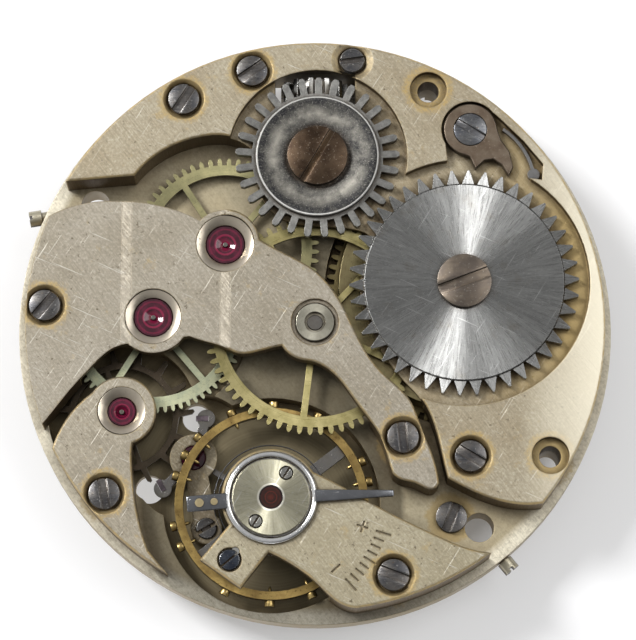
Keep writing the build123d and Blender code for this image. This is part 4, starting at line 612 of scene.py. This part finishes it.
brown_line = (0.36, 0.30, 0.24)
for seed, name in (21, "bridge_screws"), (22, "small_screws"), (25, "setting_lever_screw"):
    blued(name, seed, (0.085, 0.085, 0.090), (0.16, 0.15, 0.14), 0.24, 0.40)
blued("dial_foot_screws", 23, (0.46, 0.42, 0.31), (0.55, 0.51, 0.40), 0.30, 0.44)
blued("click_screw", 24, (0.11, 0.115, 0.13), (0.18, 0.18, 0.18), 0.22, 0.36)
blued("stud_screw", 26, (0.030, 0.035, 0.050), (0.07, 0.08, 0.10), 0.20, 0.34)
blued("cap_screws", 27, (0.22, 0.22, 0.21), (0.34, 0.33, 0.30), 0.22, 0.36)
blued("ratchet_screw", 28, (0.12, 0.10, 0.085), (0.19, 0.155, 0.12), 0.30, 0.46, (0.50, 0.46, 0.40))
blued("crown_screw", 29, (0.042, 0.027, 0.018), (0.085, 0.058, 0.038), 0.30, 0.44, brown_line)
blued("click", 30, (0.13, 0.095, 0.068), (0.20, 0.16, 0.12), 0.34, 0.48, brown_line)
print("screws finished")

# %% [markdown]
# ## Wheels of gilt brass
# Train wheels are gilt brass with a fine circular grain, because they are polished while
# they spin. The same tangent as on the ratchet wheel turns the shine, and the grain is read
# along the radius alone, so that it makes circles. Green tarnish clouds the two small ones.


# %% Gilt wheels
def gilt(name, seed, gold, shade, rough=0.30, pitting=0.5):
    """Brass polished in circles round its own axis."""
    skin = Skin(name, seed)
    way, tangent = round_axis(skin)
    lathe = circles(length(way), 24.0, 3.0, 0.7)
    metal = coat(
        gold,
        (skin.patches(1.5, 5.0, 0.65, 0.40, 0.66), shade),
        (skin.patches(11.0, 4.0, 0.7, 0.58, 0.70), shaded(shade, 0.35), pitting),
    )
    # Walls take the shade tone at 40 %, a painted shade.
    metal = blend(between(skin.upward(), 0.1, 0.5), shaded(shade, 0.40), metal)
    skin.wear(metal, (0.02, gold, 0.35), (0.30, 0.92), lathe, (0.004, 0.4), Anisotropic=0.5,
              Tangent=tangent, Roughness=between(lathe, 0.3, 0.7, rough - 0.06, rough + 0.10))


gilt("centre_wheel", 31, (0.53, 0.46, 0.22), (0.36, 0.31, 0.13))
gilt("third_wheel", 32, (0.46, 0.42, 0.22), (0.32, 0.30, 0.16))
gilt("fourth_wheel", 33, (0.66, 0.67, 0.44), (0.44, 0.49, 0.35))
gilt("barrel_drum", 34, (0.34, 0.28, 0.13), (0.22, 0.17, 0.08))
gilt("barrel_lid", 35, (0.34, 0.29, 0.15), (0.24, 0.19, 0.10))
for seed, name in enumerate(["minute_wheel", "hour_wheel"], 36):
    gilt(name, seed, (0.66, 0.54, 0.29), (0.46, 0.37, 0.19))
gilt("balance_rim", 38, (0.44, 0.31, 0.11), (0.23, 0.15, 0.055), 0.34, 0.95)
gilt("balance_screws", 39, (0.50, 0.37, 0.15), (0.30, 0.21, 0.08), 0.32)
gilt("centre_bush", 40, (0.46, 0.44, 0.36), (0.32, 0.30, 0.24), 0.32)
gilt("hairspring_collet", 41, (0.46, 0.35, 0.18), (0.30, 0.22, 0.11))
gilt("regulator_pins", 42, (0.66, 0.55, 0.33), (0.50, 0.40, 0.22))
print("brass finished")

# %% [markdown]
# ## Polished steel
# Arbors, the balance arms and the pallet fork are polished bright. Old steel is never
# perfect: a faint film dulls it in patches, and tiny pits break the shine. What lies deep in
# the movement gets little light and mirrors dark walls, so its steel and the escape wheel are
# painted darker, a painted shade.

# %% Polished steel
steel_pit, steel_line = (0.12, 0.10, 0.075), (0.72, 0.72, 0.70)
upper_steel = ["barrel_arbor", "winding_pinion", "sliding_pinion", "setting_lever", "yoke", "setting_bridge",
               "setting_wheel", "cannon_pinion", "hairspring_stud"]
lower_steel = ["centre_pinion", "third_pinion", "fourth_pinion", "escape_pinion", "pallet_fork",
               "balance_arms", "balance_staff", "roller"]


def polished(name, seed, light, dull, rough):
    """Bright steel with a film of age."""
    skin = Skin(name, seed)
    film, pits = skin.patches(1.2, 5.0, 0.62, 0.38, 0.66), skin.patches(16.0, 3.0, 0.7, 0.62, 0.74)
    metal = coat(light, (film, dull), (pits, steel_pit, 0.6))
    skin.wear(metal, (0.03, steel_line, 0.5), (0.30, 0.92), pits, (-0.004, 0.5),
              Roughness=between(film, 0.0, 1.0, rough, rough + 0.14))


for seed, name in enumerate(upper_steel, 50):
    polished(name, seed, (0.48, 0.48, 0.47), (0.33, 0.32, 0.29), 0.22)
# Painted shade: the steel deep in the movement, and the escape wheel below, are painted darker.
for seed, name in enumerate(lower_steel, 60):
    polished(name, seed, (0.22, 0.21, 0.20), (0.13, 0.12, 0.10), 0.24)
polished("escape_wheel", 69, (0.11, 0.085, 0.060), (0.060, 0.050, 0.035), 0.26)
for seed, name in enumerate(["click_spring", "yoke_spring"], 71):
    polished(name, seed, (0.26, 0.26, 0.26), (0.17, 0.16, 0.15), 0.26)
polished("mainspring", 73, (0.24, 0.26, 0.31), (0.17, 0.17, 0.19), 0.26)
polished("hairspring", 74, (0.13, 0.14, 0.18), (0.08, 0.085, 0.10), 0.24)
sunburst("balance_caps", 75, (0.62, 0.59, 0.44), (0.36, 0.34, 0.25), 0.26, 0.38, anisotropy=0.85, lip=0.50)
print("steel finished")

# %% [markdown]
# ## Ruby
# A jewel is a disc of clear red corundum with an oil cup ground into its top. Seen from
# above it is almost black at the rim, where it sits deep in its setting, and glows in rings
# towards the hole, where light comes back up through the stone: the black rim is a painted
# shade and the rings are painted light. The rings follow the nearest jewel's axis, so one
# finish serves all the jewels of a node.

# %% Ruby
ruby_index, ruby_rough, ruby_gloss = 1.76, 0.07, 0.25
heart_run, cup_at, edge_at = (0.12, 0.40), 0.50, 0.80
black_run, painted_rim_black = (0.90, 0.97), (0.010, 0.002, 0.004)


def ruby(name, seed, deep, glow, through, stones=()):
    """Clear red stone with painted rings of light round each hole and a painted dark rim."""
    skin = Skin(name, seed)
    stone = coat(deep, (skin.patches(3.0, 3.0, 0.6, 0.42, 0.62), shaded(deep, 2.2)))
    if stones:
        share = nearest(skin, stones)
        # Painted light in rings round each hole, and painted shade at the black rim.
        stone = coat(
            stone,
            (between(share, *heart_run, 1.0, 0.0), glow, 0.8),
            (line_at(share, cup_at, 0.03, 0.04), glow, 0.8),
            (line_at(share, edge_at, 0.02, 0.04), glow, 0.35),
            (between(share, *black_run), painted_rim_black),
        )
    skin.feed(Base_Color=stone, Roughness=ruby_rough, IOR=ruby_index, Specular_IOR_Level=ruby_gloss,
              Transmission_Weight=through)
    dress(parts[name], skin.material)


third_stone, fourth_stone, escape_stone = map(middle, ("third_pinion", "fourth_pinion", "escape_pinion"))
upper_radius, escape_radius, cap_radius = 0.79 * mm, 0.58 * mm, 0.45 * mm
train_stones = [(third_stone, upper_radius), (fourth_stone, upper_radius), (escape_stone, escape_radius)]
wine, wine_painted_glow = (0.045, 0.003, 0.012), (0.29, 0.016, 0.062)
ruby("train_jewels", 81, wine, wine_painted_glow, 0.25, train_stones)
# The pallet jewels lie deep and are painted darker, a painted shade.
ruby("pallet_jewels", 82, (0.020, 0.002, 0.006), wine_painted_glow, 0.10)
ruby("balance_jewels", 83, wine, wine_painted_glow, 0.25)
ruby("cap_jewels", 84, (0.015, 0.003, 0.001), (0.080, 0.010, 0.004), 0.10, [(balance_middle, cap_radius)])
# The pallet stones lie deep and are painted dark, a painted shade.
ruby("pallet_stones", 85, (0.060, 0.045, 0.052), wine_painted_glow, 0.10)
ruby("impulse_jewel", 86, (0.10, 0.006, 0.02), wine_painted_glow, 0.25)
print("jewels finished")

# %% [markdown]
# ## A kit for small pieces
# The pieces below are turned or filed from bars. Each starts as a primitive at its size and
# place and is shaped in edit mode. An operator works on whatever is selected, so one helper
# clears the selection first, one picks faces by a rule, and one finishes the piece: its
# narrow bevels, its smooth shading and its body.

# %% Modelling helpers
smooth_below, facing = math.radians(38), 0.9


def alone(*pieces):
    """Selects these pieces and nothing else, with the first one active."""
    bpy.ops.object.select_all(action="DESELECT")
    for piece in reversed(pieces):
        piece.select_set(True)
        bpy.context.view_layer.objects.active = piece


def stand(name, data):
    """A new object in the scene."""
    made = bpy.data.objects.new(name, data)
    bpy.context.scene.collection.objects.link(made)
    return made


def pick(piece, rule):
    """Selects the faces that a rule accepts, in edit mode."""
    bpy.ops.object.mode_set(mode="OBJECT")
    for part in (*piece.data.vertices, *piece.data.edges):
        part.select = False
    for face in piece.data.polygons:
        face.select = rule(face)
    bpy.ops.object.mode_set(mode="EDIT")


def start(name, primitive, **sizes):
    """A primitive by itself, ready in edit mode."""
    alone()
    primitive(**sizes)
    bpy.ops.object.transform_apply(location=True, rotation=True, scale=True)
    piece = bpy.context.object
    piece.name = name
    bpy.ops.object.mode_set(mode="EDIT")
    bpy.ops.mesh.select_mode(type="FACE")
    return piece


def draw_out(x=0.0, z=0.0):
    """Extrudes the picked faces along X or Z."""
    bpy.ops.mesh.extrude_region_move(TRANSFORM_OT_translate={"value": (x, 0.0, z)})


def cut_across(way, half):
    """Two cuts through the whole piece, on both sides of its middle."""
    for side in (-half, half):
        bpy.ops.mesh.select_all(action="SELECT")
        bpy.ops.mesh.bisect(plane_co=way * side, plane_no=way)


def apply_bevel(piece, width, segments=2):
    """Narrow bevels on the sharp edges, made real."""
    bpy.ops.object.mode_set(mode="OBJECT")
    modifier = piece.modifiers.new("edges", "BEVEL")
    modifier.width, modifier.segments, modifier.limit_method = width, segments, "ANGLE"
    bpy.ops.object.modifier_apply(modifier=modifier.name)
    bpy.ops.object.shade_smooth_by_angle(angle=smooth_below)


def join(name, pieces):
    """One piece made of one or several."""
    alone(*pieces)
    if len(pieces) > 1:
        bpy.ops.object.join()
    pieces[0].name = name
    return pieces[0]


def settle(piece, body, slot, *replaced):
    """Gives a piece its body and hides the nodes that it stands for; its slot is not used."""
    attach(piece, body)
    if replaced:
        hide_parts(*replaced)
    print(piece.name, "has", len(piece.data.polygons), "faces")


# %% [markdown]
# ## Slotted screws
# A screw head has a wide slot, and its walls are what the eye sees: one catches the window
# and the other is black. The solids have narrow slots, so the heads are turned again here. A
# head is a short bar. Two bisects mark the slot right across it, the two outer parts are drawn
# up beside it, and the underside is inset and drawn down into the shank. Each copy takes its
# middle, its top, its foot and the turn of its slot from the solid screw that it replaces.

# %% One slotted screw
solid_slot_deep, level_slack = 0.13 * mm, 0.015 * mm
shank_r, screw_bevel, head_sides, heads_apart = 0.30 * mm, 0.030 * mm, 64, 2.3


def slot_turn(corners):
    """The turn of a slot, from the corners on its floor."""
    spot = screw_middle(corners)
    floor = max(c.z for c in corners) - solid_slot_deep
    along = across = 0.0
    for corner in corners:
        if abs(corner.z - floor) < level_slack:
            away = corner - spot
            twice = 2.0 * math.atan2(away.y, away.x)
            along += (away.x ** 2 + away.y ** 2) * math.cos(twice)
            across += (away.x ** 2 + away.y ** 2) * math.sin(twice)
    return math.atan2(across, along) / 2


def slotted_screw(name, head_r, thick, slot_half, slot_deep, long):
    """A screw whose top is at the origin, with its slot along X."""
    tall = thick - slot_deep
    piece = start(name, bpy.ops.mesh.primitive_cylinder_add, vertices=head_sides, radius=head_r, depth=tall,
                  location=(0.0, 0.0, -slot_deep - tall / 2))
    pick(piece, lambda face: face.normal.z < -facing)
    bpy.ops.mesh.inset(thickness=head_r - shank_r)
    draw_out(z=thick - long)
    cut_across(Vector((0.0, 1.0, 0.0)), slot_half)
    pick(piece, lambda face: face.normal.z > facing and abs(face.center.y) > slot_half)
    draw_out(z=slot_deep)
    apply_bevel(piece, screw_bevel)
    return piece


# %% All the wide-slotted screws
def turn_screws(name, node, body, slot, head_r, thick, slot_half, slot_deep):
    """One modelled screw, copied to every solid screw of a node."""
    solids = screw_corners(node, heads_apart * head_r)
    longs = [max(c.z for c in corners) - min(c.z for c in corners) for corners in solids]
    model = slotted_screw(name, head_r, thick, slot_half, slot_deep, longs[0])
    shank_middle = -(thick + min(longs)) / 2
    made = []
    for corners, long in zip(solids, longs):
        copy = stand(name, model.data.copy())
        for vertex in copy.data.vertices:
            if vertex.co.z < shank_middle:
                vertex.co.z += longs[0] - long
        spot = screw_middle(corners)
        spot.z = max(c.z for c in corners)
        copy.data.transform(Matrix.Translation(spot) @ Matrix.Rotation(slot_turn(corners), 4, "Z"))
        made.append(copy)
    bpy.data.objects.remove(model)
    screws = join(name, made)
    dress(screws, material_of(node))
    settle(screws, body, slot, node)


turn_screws("wide_screws", "bridge_screws", "frame", "blue_grey_screw", 0.62 * mm,
            thick=0.26 * mm, slot_half=0.105 * mm, slot_deep=0.15 * mm)
turn_screws("ratchet_centre", "ratchet_screw", "arbor", "bronze_screw", half_width("ratchet_screw"),
            thick=0.24 * mm, slot_half=0.115 * mm, slot_deep=0.14 * mm)
turn_screws("crown_centre", "crown_screw", "frame", "bronze_screw", half_width("crown_screw"),
            thick=0.24 * mm, slot_half=0.11 * mm, slot_deep=0.14 * mm)
turn_screws("click_centre", "click_screw", "frame", "blue_grey_screw", half_width("click_screw"),
            thick=0.15 * mm, slot_half=0.09 * mm, slot_deep=0.08 * mm)

# %% [markdown]
# ## Timing screws
# Sixteen brass screws stand out from the balance rim, in pairs across the staff, and a
# watchmaker turns them to set the rate. Each is a bar with a slot right across its end. A
# slot that is open at both sides can't be pushed in, so the head is cut in three by two
# bisects, and the two outer thirds are drawn out beside it. Its thread goes through the rim,
# and the pointed end shows inside. One screw is modelled lying along X and copied round the
# rim, each copy with its own mesh.

# %% One timing screw
timing_r, timing_long, timing_slot_deep, timing_slot_half = 0.20 * mm, 0.34 * mm, 0.09 * mm, 0.035 * mm
timing_neck_r, timing_neck_long, timing_bevel = 0.11 * mm, 0.02 * mm, 0.008 * mm
tip_r, tip_long, tip_share, rim_wide = 0.075 * mm, 0.22 * mm, 0.25, 0.33 * mm
timing_sides, slot_lean = 28, math.radians(28)


def timing_screw():
    """A slotted brass screw from the origin outwards along X."""
    body_long = timing_long - timing_neck_long - timing_slot_deep
    piece = start("timing_screw", bpy.ops.mesh.primitive_cylinder_add, vertices=timing_sides, radius=timing_r,
                  depth=body_long, location=(timing_neck_long + body_long / 2, 0.0, 0.0),
                  rotation=(0.0, math.pi / 2, 0.0))
    pick(piece, lambda face: face.normal.x < -facing)
    bpy.ops.mesh.inset(thickness=timing_r - timing_neck_r)
    draw_out(-timing_neck_long)
    bpy.ops.mesh.inset(thickness=timing_neck_r - tip_r)
    draw_out(-rim_wide - tip_long / 2)
    draw_out(-tip_long / 2)
    bpy.ops.transform.resize(value=(1.0, tip_share, tip_share))
    across = Vector((0.0, math.cos(slot_lean), math.sin(slot_lean)))
    cut_across(across, timing_slot_half)
    pick(piece, lambda face: face.normal.x > facing and abs(face.center.dot(across)) > timing_slot_half)
    draw_out(timing_slot_deep)
    apply_bevel(piece, timing_bevel)
    return piece


# %% Sixteen timing screws
timing_turns = (13.0, 25.5, 62.4, 89.0, 113.8, 137.7, 150.4, 163.5)


def ring_of_screws():
    """The timing screws round the balance rim."""
    model = timing_screw()
    out = Matrix.Translation((half_width("balance_rim"), 0.0, 0.0))
    made = []
    for turn in timing_turns:
        for side in (0.0, 180.0):
            copy = stand("timing_screw", model.data.copy())
            turned = Matrix.Rotation(math.radians(turn + side), 4, "Z")
            copy.data.transform(Matrix.Translation(balance_middle) @ turned @ out)
            made.append(copy)
    bpy.data.objects.remove(model)
    return join("timing_screws", made)


timing_screws = ring_of_screws()
dress(timing_screws, material_of("balance_screws"))
settle(timing_screws, "balance", "brass", "balance_screws")

# %% [markdown]
# ## The hairspring
# The real hairspring is a ribbon of steel thinner than a hair, wound a dozen times from the
# collet on the staff, out between the regulator's two curb pins, to the stud in the cock.
# The solid has only a few turns, so a finer ribbon replaces it: a spiral line raised to the
# ribbon's height, then given its thickness. Its outer turn keeps one distance from the staff
# where the curb pins travel, or they would cut through it when the regulator turns.

# %% Hairspring ribbon
coil_turns, coil_steps, lead_steps, ribbon_thick = 10, 60, 10, 0.022 * mm
curb_reach, curb_turn, curb_arc = 2.264 * mm, 184.7, 22.0
stud_turn, stud_touch = 233.0, 2.38 * mm


def spring_line():
    """The ribbon's line: its turn in degrees and its reach, from the collet to the stud."""
    arc_start, arc_end = curb_turn - curb_arc, curb_turn + curb_arc
    stops = [(arc_start - coil_turns * 360.0, half_width("hairspring_collet")), (arc_start, curb_reach),
             (arc_end, curb_reach), (stud_turn, stud_touch)]
    line = []
    for here, there, count in zip(stops, stops[1:], (coil_turns * coil_steps, lead_steps, lead_steps)):
        line += [[a + (b - a) * i / count for a, b in zip(here, there)] for i in range(count)]
    return [*line, stops[-1]]


def wind_hairspring():
    """A flat spiral ribbon from the collet to the stud."""
    spots = [(balance_middle.x + reach * math.cos(math.radians(turn)),
              balance_middle.y + reach * math.sin(math.radians(turn))) for turn, reach in spring_line()]
    count = len(spots) - 1
    corners = [(x, y, edge) for edge in (foot_of("hairspring"), top_of("hairspring")) for x, y in spots]
    mesh = bpy.data.meshes.new("hairspring_ribbon")
    mesh.from_pydata(corners, [], [(i, i + 1, i + 2 + count, i + 1 + count) for i in range(count)])
    piece = stand("hairspring_ribbon", mesh)
    alone(piece)
    modifier = piece.modifiers.new("ribbon", "SOLIDIFY")
    modifier.thickness, modifier.offset = ribbon_thick, 0.0
    bpy.ops.object.modifier_apply(modifier=modifier.name)
    bpy.ops.object.shade_smooth_by_angle(angle=smooth_below)
    return piece


hairspring_ribbon = wind_hairspring()
dress(hairspring_ribbon, material_of("hairspring"))
settle(hairspring_ribbon, "frame", "spring_steel", "hairspring")

# %% [markdown]
# ## The regulator
# The regulator is one steel piece, a ring that turns on the cap with a long pointer and a
# short tail for the curb pins. Its ring is ground round on top and polished black: from most
# sides it looks dark, with one white line where it mirrors the window. A flat-topped ring
# can't do that, so the ring starts as a torus, and a bisect cuts its underside flat. The
# pointer and the tail are bars with bevelled edges, and the pointer's end is pulled in. They
# are polished flat and painted near black, a painted reflection of the dark room, while the
# ring is bright steel, so each has a finish of its own.

# %% Regulator ring
ring_in_r, ring_out_r, round_below = 1.57 * mm, 1.83 * mm, math.radians(50)
ring_middle_r = (ring_in_r + ring_out_r) / 2
regulator_low, regulator_high = foot_of("regulator"), top_of("regulator")


def regulator_ring():
    """A ring, round on top and flat below."""
    tube = (ring_out_r - ring_in_r) / 2
    piece = start("regulator_ring", bpy.ops.mesh.primitive_torus_add, major_radius=ring_middle_r,
                  minor_radius=tube, major_segments=128, minor_segments=24,
                  location=(balance_middle.x, balance_middle.y, regulator_high - tube))
    bpy.ops.mesh.select_all(action="SELECT")
    bpy.ops.mesh.bisect(plane_co=(0.0, 0.0, regulator_low), plane_no=(0.0, 0.0, 1.0), use_fill=True,
                        clear_inner=True)
    bpy.ops.object.mode_set(mode="OBJECT")
    bpy.ops.object.shade_smooth_by_angle(angle=round_below)
    return piece


# %% Regulator bars
pointer_reach, pointer_turn, pointer_wide, pointer_fine = 4.80 * mm, 2.0, 0.50 * mm, 0.26 * mm
tail_reach, tail_turn, tail_wide, bar_bevel = 3.30 * mm, 184.7, 0.62 * mm, 0.045 * mm


def regulator_bar(name, turn, far, wide, fine):
    """A flat bar from the ring outwards, its end as wide as fine."""
    piece = start(name, bpy.ops.mesh.primitive_cube_add, size=1.0,
                  location=((ring_middle_r + far) / 2, 0.0, (regulator_low + regulator_high) / 2),
                  scale=(far - ring_middle_r, wide, regulator_high - regulator_low))
    pick(piece, lambda face: face.normal.x > facing)
    bpy.ops.transform.resize(value=(1.0, fine / wide, 1.0))
    apply_bevel(piece, bar_bevel, segments=3)
    turned = Matrix.Rotation(math.radians(turn), 4, "Z")
    piece.data.transform(Matrix.Translation((balance_middle.x, balance_middle.y, 0.0)) @ turned)
    return piece


ring = regulator_ring()
bars = [
    regulator_bar("regulator_pointer", pointer_turn, pointer_reach, pointer_wide, pointer_fine),
    regulator_bar("regulator_tail", tail_turn, tail_reach, tail_wide, tail_wide),
]
polished("regulator", 70, (0.86, 0.86, 0.86), (0.66, 0.66, 0.65), 0.08)
dress(ring, material_of("regulator"))
# The flat bars are painted near black, a painted reflection of the dark room.
polished("regulator", 77, (0.21, 0.215, 0.23), (0.15, 0.155, 0.165), 0.10)
for bar in bars:
    dress(bar, material_of("regulator"))
settle(join("regulator_steel", [ring, *bars]), "regulator", "polished_steel", "regulator")

# %% [markdown]
# ## Jewel settings
# Round each upper jewel the bridge is cut back in a polished slope, and those slopes catch
# more light than anything else on the bridges. The solids have plain round sinks, so each
# gets a thin dished ring that fills it: a disc whose top and bottom are inset to the jewel's
# width, the top's middle pushed down, and the two middles bridged into a hole.

# %% Setting rings
ring_gap, ring_sheet, setting_bevel, setting_sides = 0.02 * mm, 0.03 * mm, 0.012 * mm, 96


def rim_height(name, centre, radius, floor):
    """The lowest height of a bridge along the upper edge of a round sink."""
    heights = [corner.co.z for corner in parts[name].data.vertices
               if abs(math.hypot(corner.co.x - centre.x, corner.co.y - centre.y) - radius) < ring_gap]
    return min(height for height in heights if height > floor + ring_gap)


def setting_ring(name, bridge, centre, jewel_r, sink_r, floor):
    """A dished ring between a jewel and the edge of its sink."""
    top = rim_height(bridge, centre, sink_r, floor)
    piece = start(name, bpy.ops.mesh.primitive_cylinder_add, vertices=setting_sides, radius=sink_r - ring_gap,
                  depth=top - floor, location=(centre.x, centre.y, (top + floor) / 2))
    pick(piece, lambda face: abs(face.normal.z) > facing)
    bpy.ops.mesh.inset(thickness=sink_r - ring_gap - jewel_r)
    pick(piece, lambda face: face.normal.z > facing and len(face.vertices) > 4)
    bpy.ops.transform.translate(value=(0.0, 0.0, -(top - floor - ring_sheet)))
    pick(piece, lambda face: len(face.vertices) > 4)
    bpy.ops.mesh.bridge_edge_loops()
    apply_bevel(piece, setting_bevel)
    return piece


# %% Three settings
setting_plate, setting_warm, setting_edge = (0.62, 0.55, 0.44), (0.50, 0.44, 0.36), (0.70, 0.64, 0.52)


def setting_material():
    """Bright plating in patches, with pits and warm edges."""
    skin = Skin("jewel_settings", 76)
    pits = skin.patches(9.0, 4.0, 0.7, 0.62, 0.70)
    tint = skin.patches(0.9, 4.0, 0.6, 0.35, 0.65)
    metal = coat(setting_plate, (tint, setting_warm), (pits, speck_brown, 0.5))
    skin.wear(metal, (0.03, setting_edge, 0.4), (0.20, 0.90), pits, (-0.004, 0.5), metallic=0.95,
              Roughness=0.30)
    return skin.material


third_sink_r, fourth_sink_r, escape_sink_r = 1.16 * mm, 1.12 * mm, 0.96 * mm
dial_face = foot_of("main_plate")
train_sink_floor, escape_sink_floor = dial_face + 2.72 * mm, dial_face + 2.32 * mm
plated = setting_material()
for name, bridge, centre, stone_r, sink_r, floor in [
    ("third_setting", "train_bridge", third_stone, upper_radius, third_sink_r, train_sink_floor),
    ("fourth_setting", "train_bridge", fourth_stone, upper_radius, fourth_sink_r, train_sink_floor),
    ("escape_setting", "escape_cock", escape_stone, escape_radius, escape_sink_r, escape_sink_floor),
]:
    setting = setting_ring(name, bridge, centre, stone_r, sink_r, floor)
    dress(setting, plated)
    settle(setting, "frame", "nickel_bridge")

# %% [markdown]
# ## Paper, lamps and camera
# The movement lies on white paper with one large soft lamp at the upper left, a weaker one
# opposite, and a pale room all round. Polished metal shows whatever surrounds it, so the room
# is not one flat tone: it is bright on the lamp's side and darker on the other, and that
# difference is what makes the steel look like steel. The paper adds a little light of its
# own, seen only by the camera and in what the metal and stones mirror, so that it looks white
# and still keeps the shadow. Under the plate that glow is a painted light, more on the
# window's side and less away from it, so that the holes there show pale on the left and
# dark on the right.

# %% Paper
paper_half, paper_white, paper_glow = 0.6, (0.94, 0.94, 0.95), 0.30
hidden_run, hole_run, hole_glow, hole_far = (10.0, 11.0), (-6.0, 6.0), 0.50, 0.13


def lay_paper():
    """A large white sheet under the movement."""
    alone()
    bpy.ops.mesh.primitive_plane_add(size=2 * paper_half, location=(0.0, 0.0, cad_low[2]))
    sheet = bpy.context.object
    sheet.name = "paper"
    skin = Skin("paper")
    skin.feed(Base_Color=paper_white, Roughness=0.9)
    ray = put(skin.tree, "ShaderNodeLightPath").outputs
    seen = maths("MAXIMUM", ray["Is Glossy Ray"], ray["Is Transmission Ray"])
    seen = maths("MAXIMUM", ray["Is Camera Ray"], seen)
    # Painted light under the plate: more glow on the window's side, less away from it.
    hidden = between(axis(skin.scaled, 0), *hole_run, hole_glow, hole_far)
    level = times(seen, between(length(skin.scaled), *hidden_run, hidden, paper_glow))
    glow = put(skin.tree, "ShaderNodeEmission", {"Color": (1.0, 1.0, 1.0, 1.0), "Strength": 1.0}).outputs[0]
    mixed = step("ShaderNodeMixShader", {0: level, 1: skin.shader.outputs[0], 2: glow}).outputs[0]
    skin.tree.links.new(mixed, skin.tree.nodes["Material Output"].inputs[0])
    dress(sheet, skin.material)


lay_paper()

# %% Lamps
lamp_reach = 0.45


def lamp(name, azimuth, height, size, power):
    """A soft square lamp that looks at the movement."""
    light = bpy.data.lights.new(name, "AREA")
    light.size, light.energy = size, power
    turn, rise = math.radians(azimuth), math.radians(height)
    way = Vector((math.cos(turn) * math.cos(rise), math.sin(turn) * math.cos(rise), math.sin(rise)))
    holder = stand(name, light)
    holder.location = way * lamp_reach
    holder.rotation_euler = (-way).to_track_quat("-Z", "Y").to_euler()


lamp("window", azimuth=150.0, height=47.0, size=0.12, power=1.7)
lamp("card", azimuth=15.0, height=52.0, size=0.30, power=0.75)

# %% Room
room_way, room_run, room_dark, room_bright = (-0.60, 0.45, 0.62), (-0.5, 1.0), 0.12, 1.0
room_strength = 0.60


def light_room():
    """A pale room, brighter towards the window."""
    world = bpy.data.worlds.new("room")
    bpy.context.scene.world = world
    world.use_nodes = True
    tree = world.node_tree
    ground = tree.nodes["Background"]
    way = put(tree, "ShaderNodeTexCoord").outputs["Generated"]
    level = between(vector("DOT_PRODUCT", way, room_way, "Value"), *room_run, room_dark, room_bright)
    grey = step("ShaderNodeCombineColor", {0: level, 1: level, 2: level}).outputs[0]
    tree.links.new(grey, ground.inputs[0])
    ground.inputs[1].default_value = room_strength


light_room()

# %% Camera
camera_height, camera_distance, camera_lens = 78.3, 130.0, 184.7
aim = Vector((0.119, 0.081, 4.35)) * mm


def stand_camera():
    """The camera, a little south of straight above."""
    view = bpy.data.cameras.new("loupe")
    view.lens = camera_lens
    view.clip_start, view.clip_end = camera_distance * mm / 10, camera_distance * mm * 20
    rise = math.radians(camera_height)
    back = Vector((0.0, -math.cos(rise), math.sin(rise)))
    eye = stand("loupe", view)
    eye.location = aim + back * camera_distance * mm
    eye.rotation_euler = (-back).to_track_quat("-Z", "Y").to_euler()
    bpy.context.scene.camera = eye


stand_camera()
bpy.context.scene.view_settings.view_transform = "Standard"
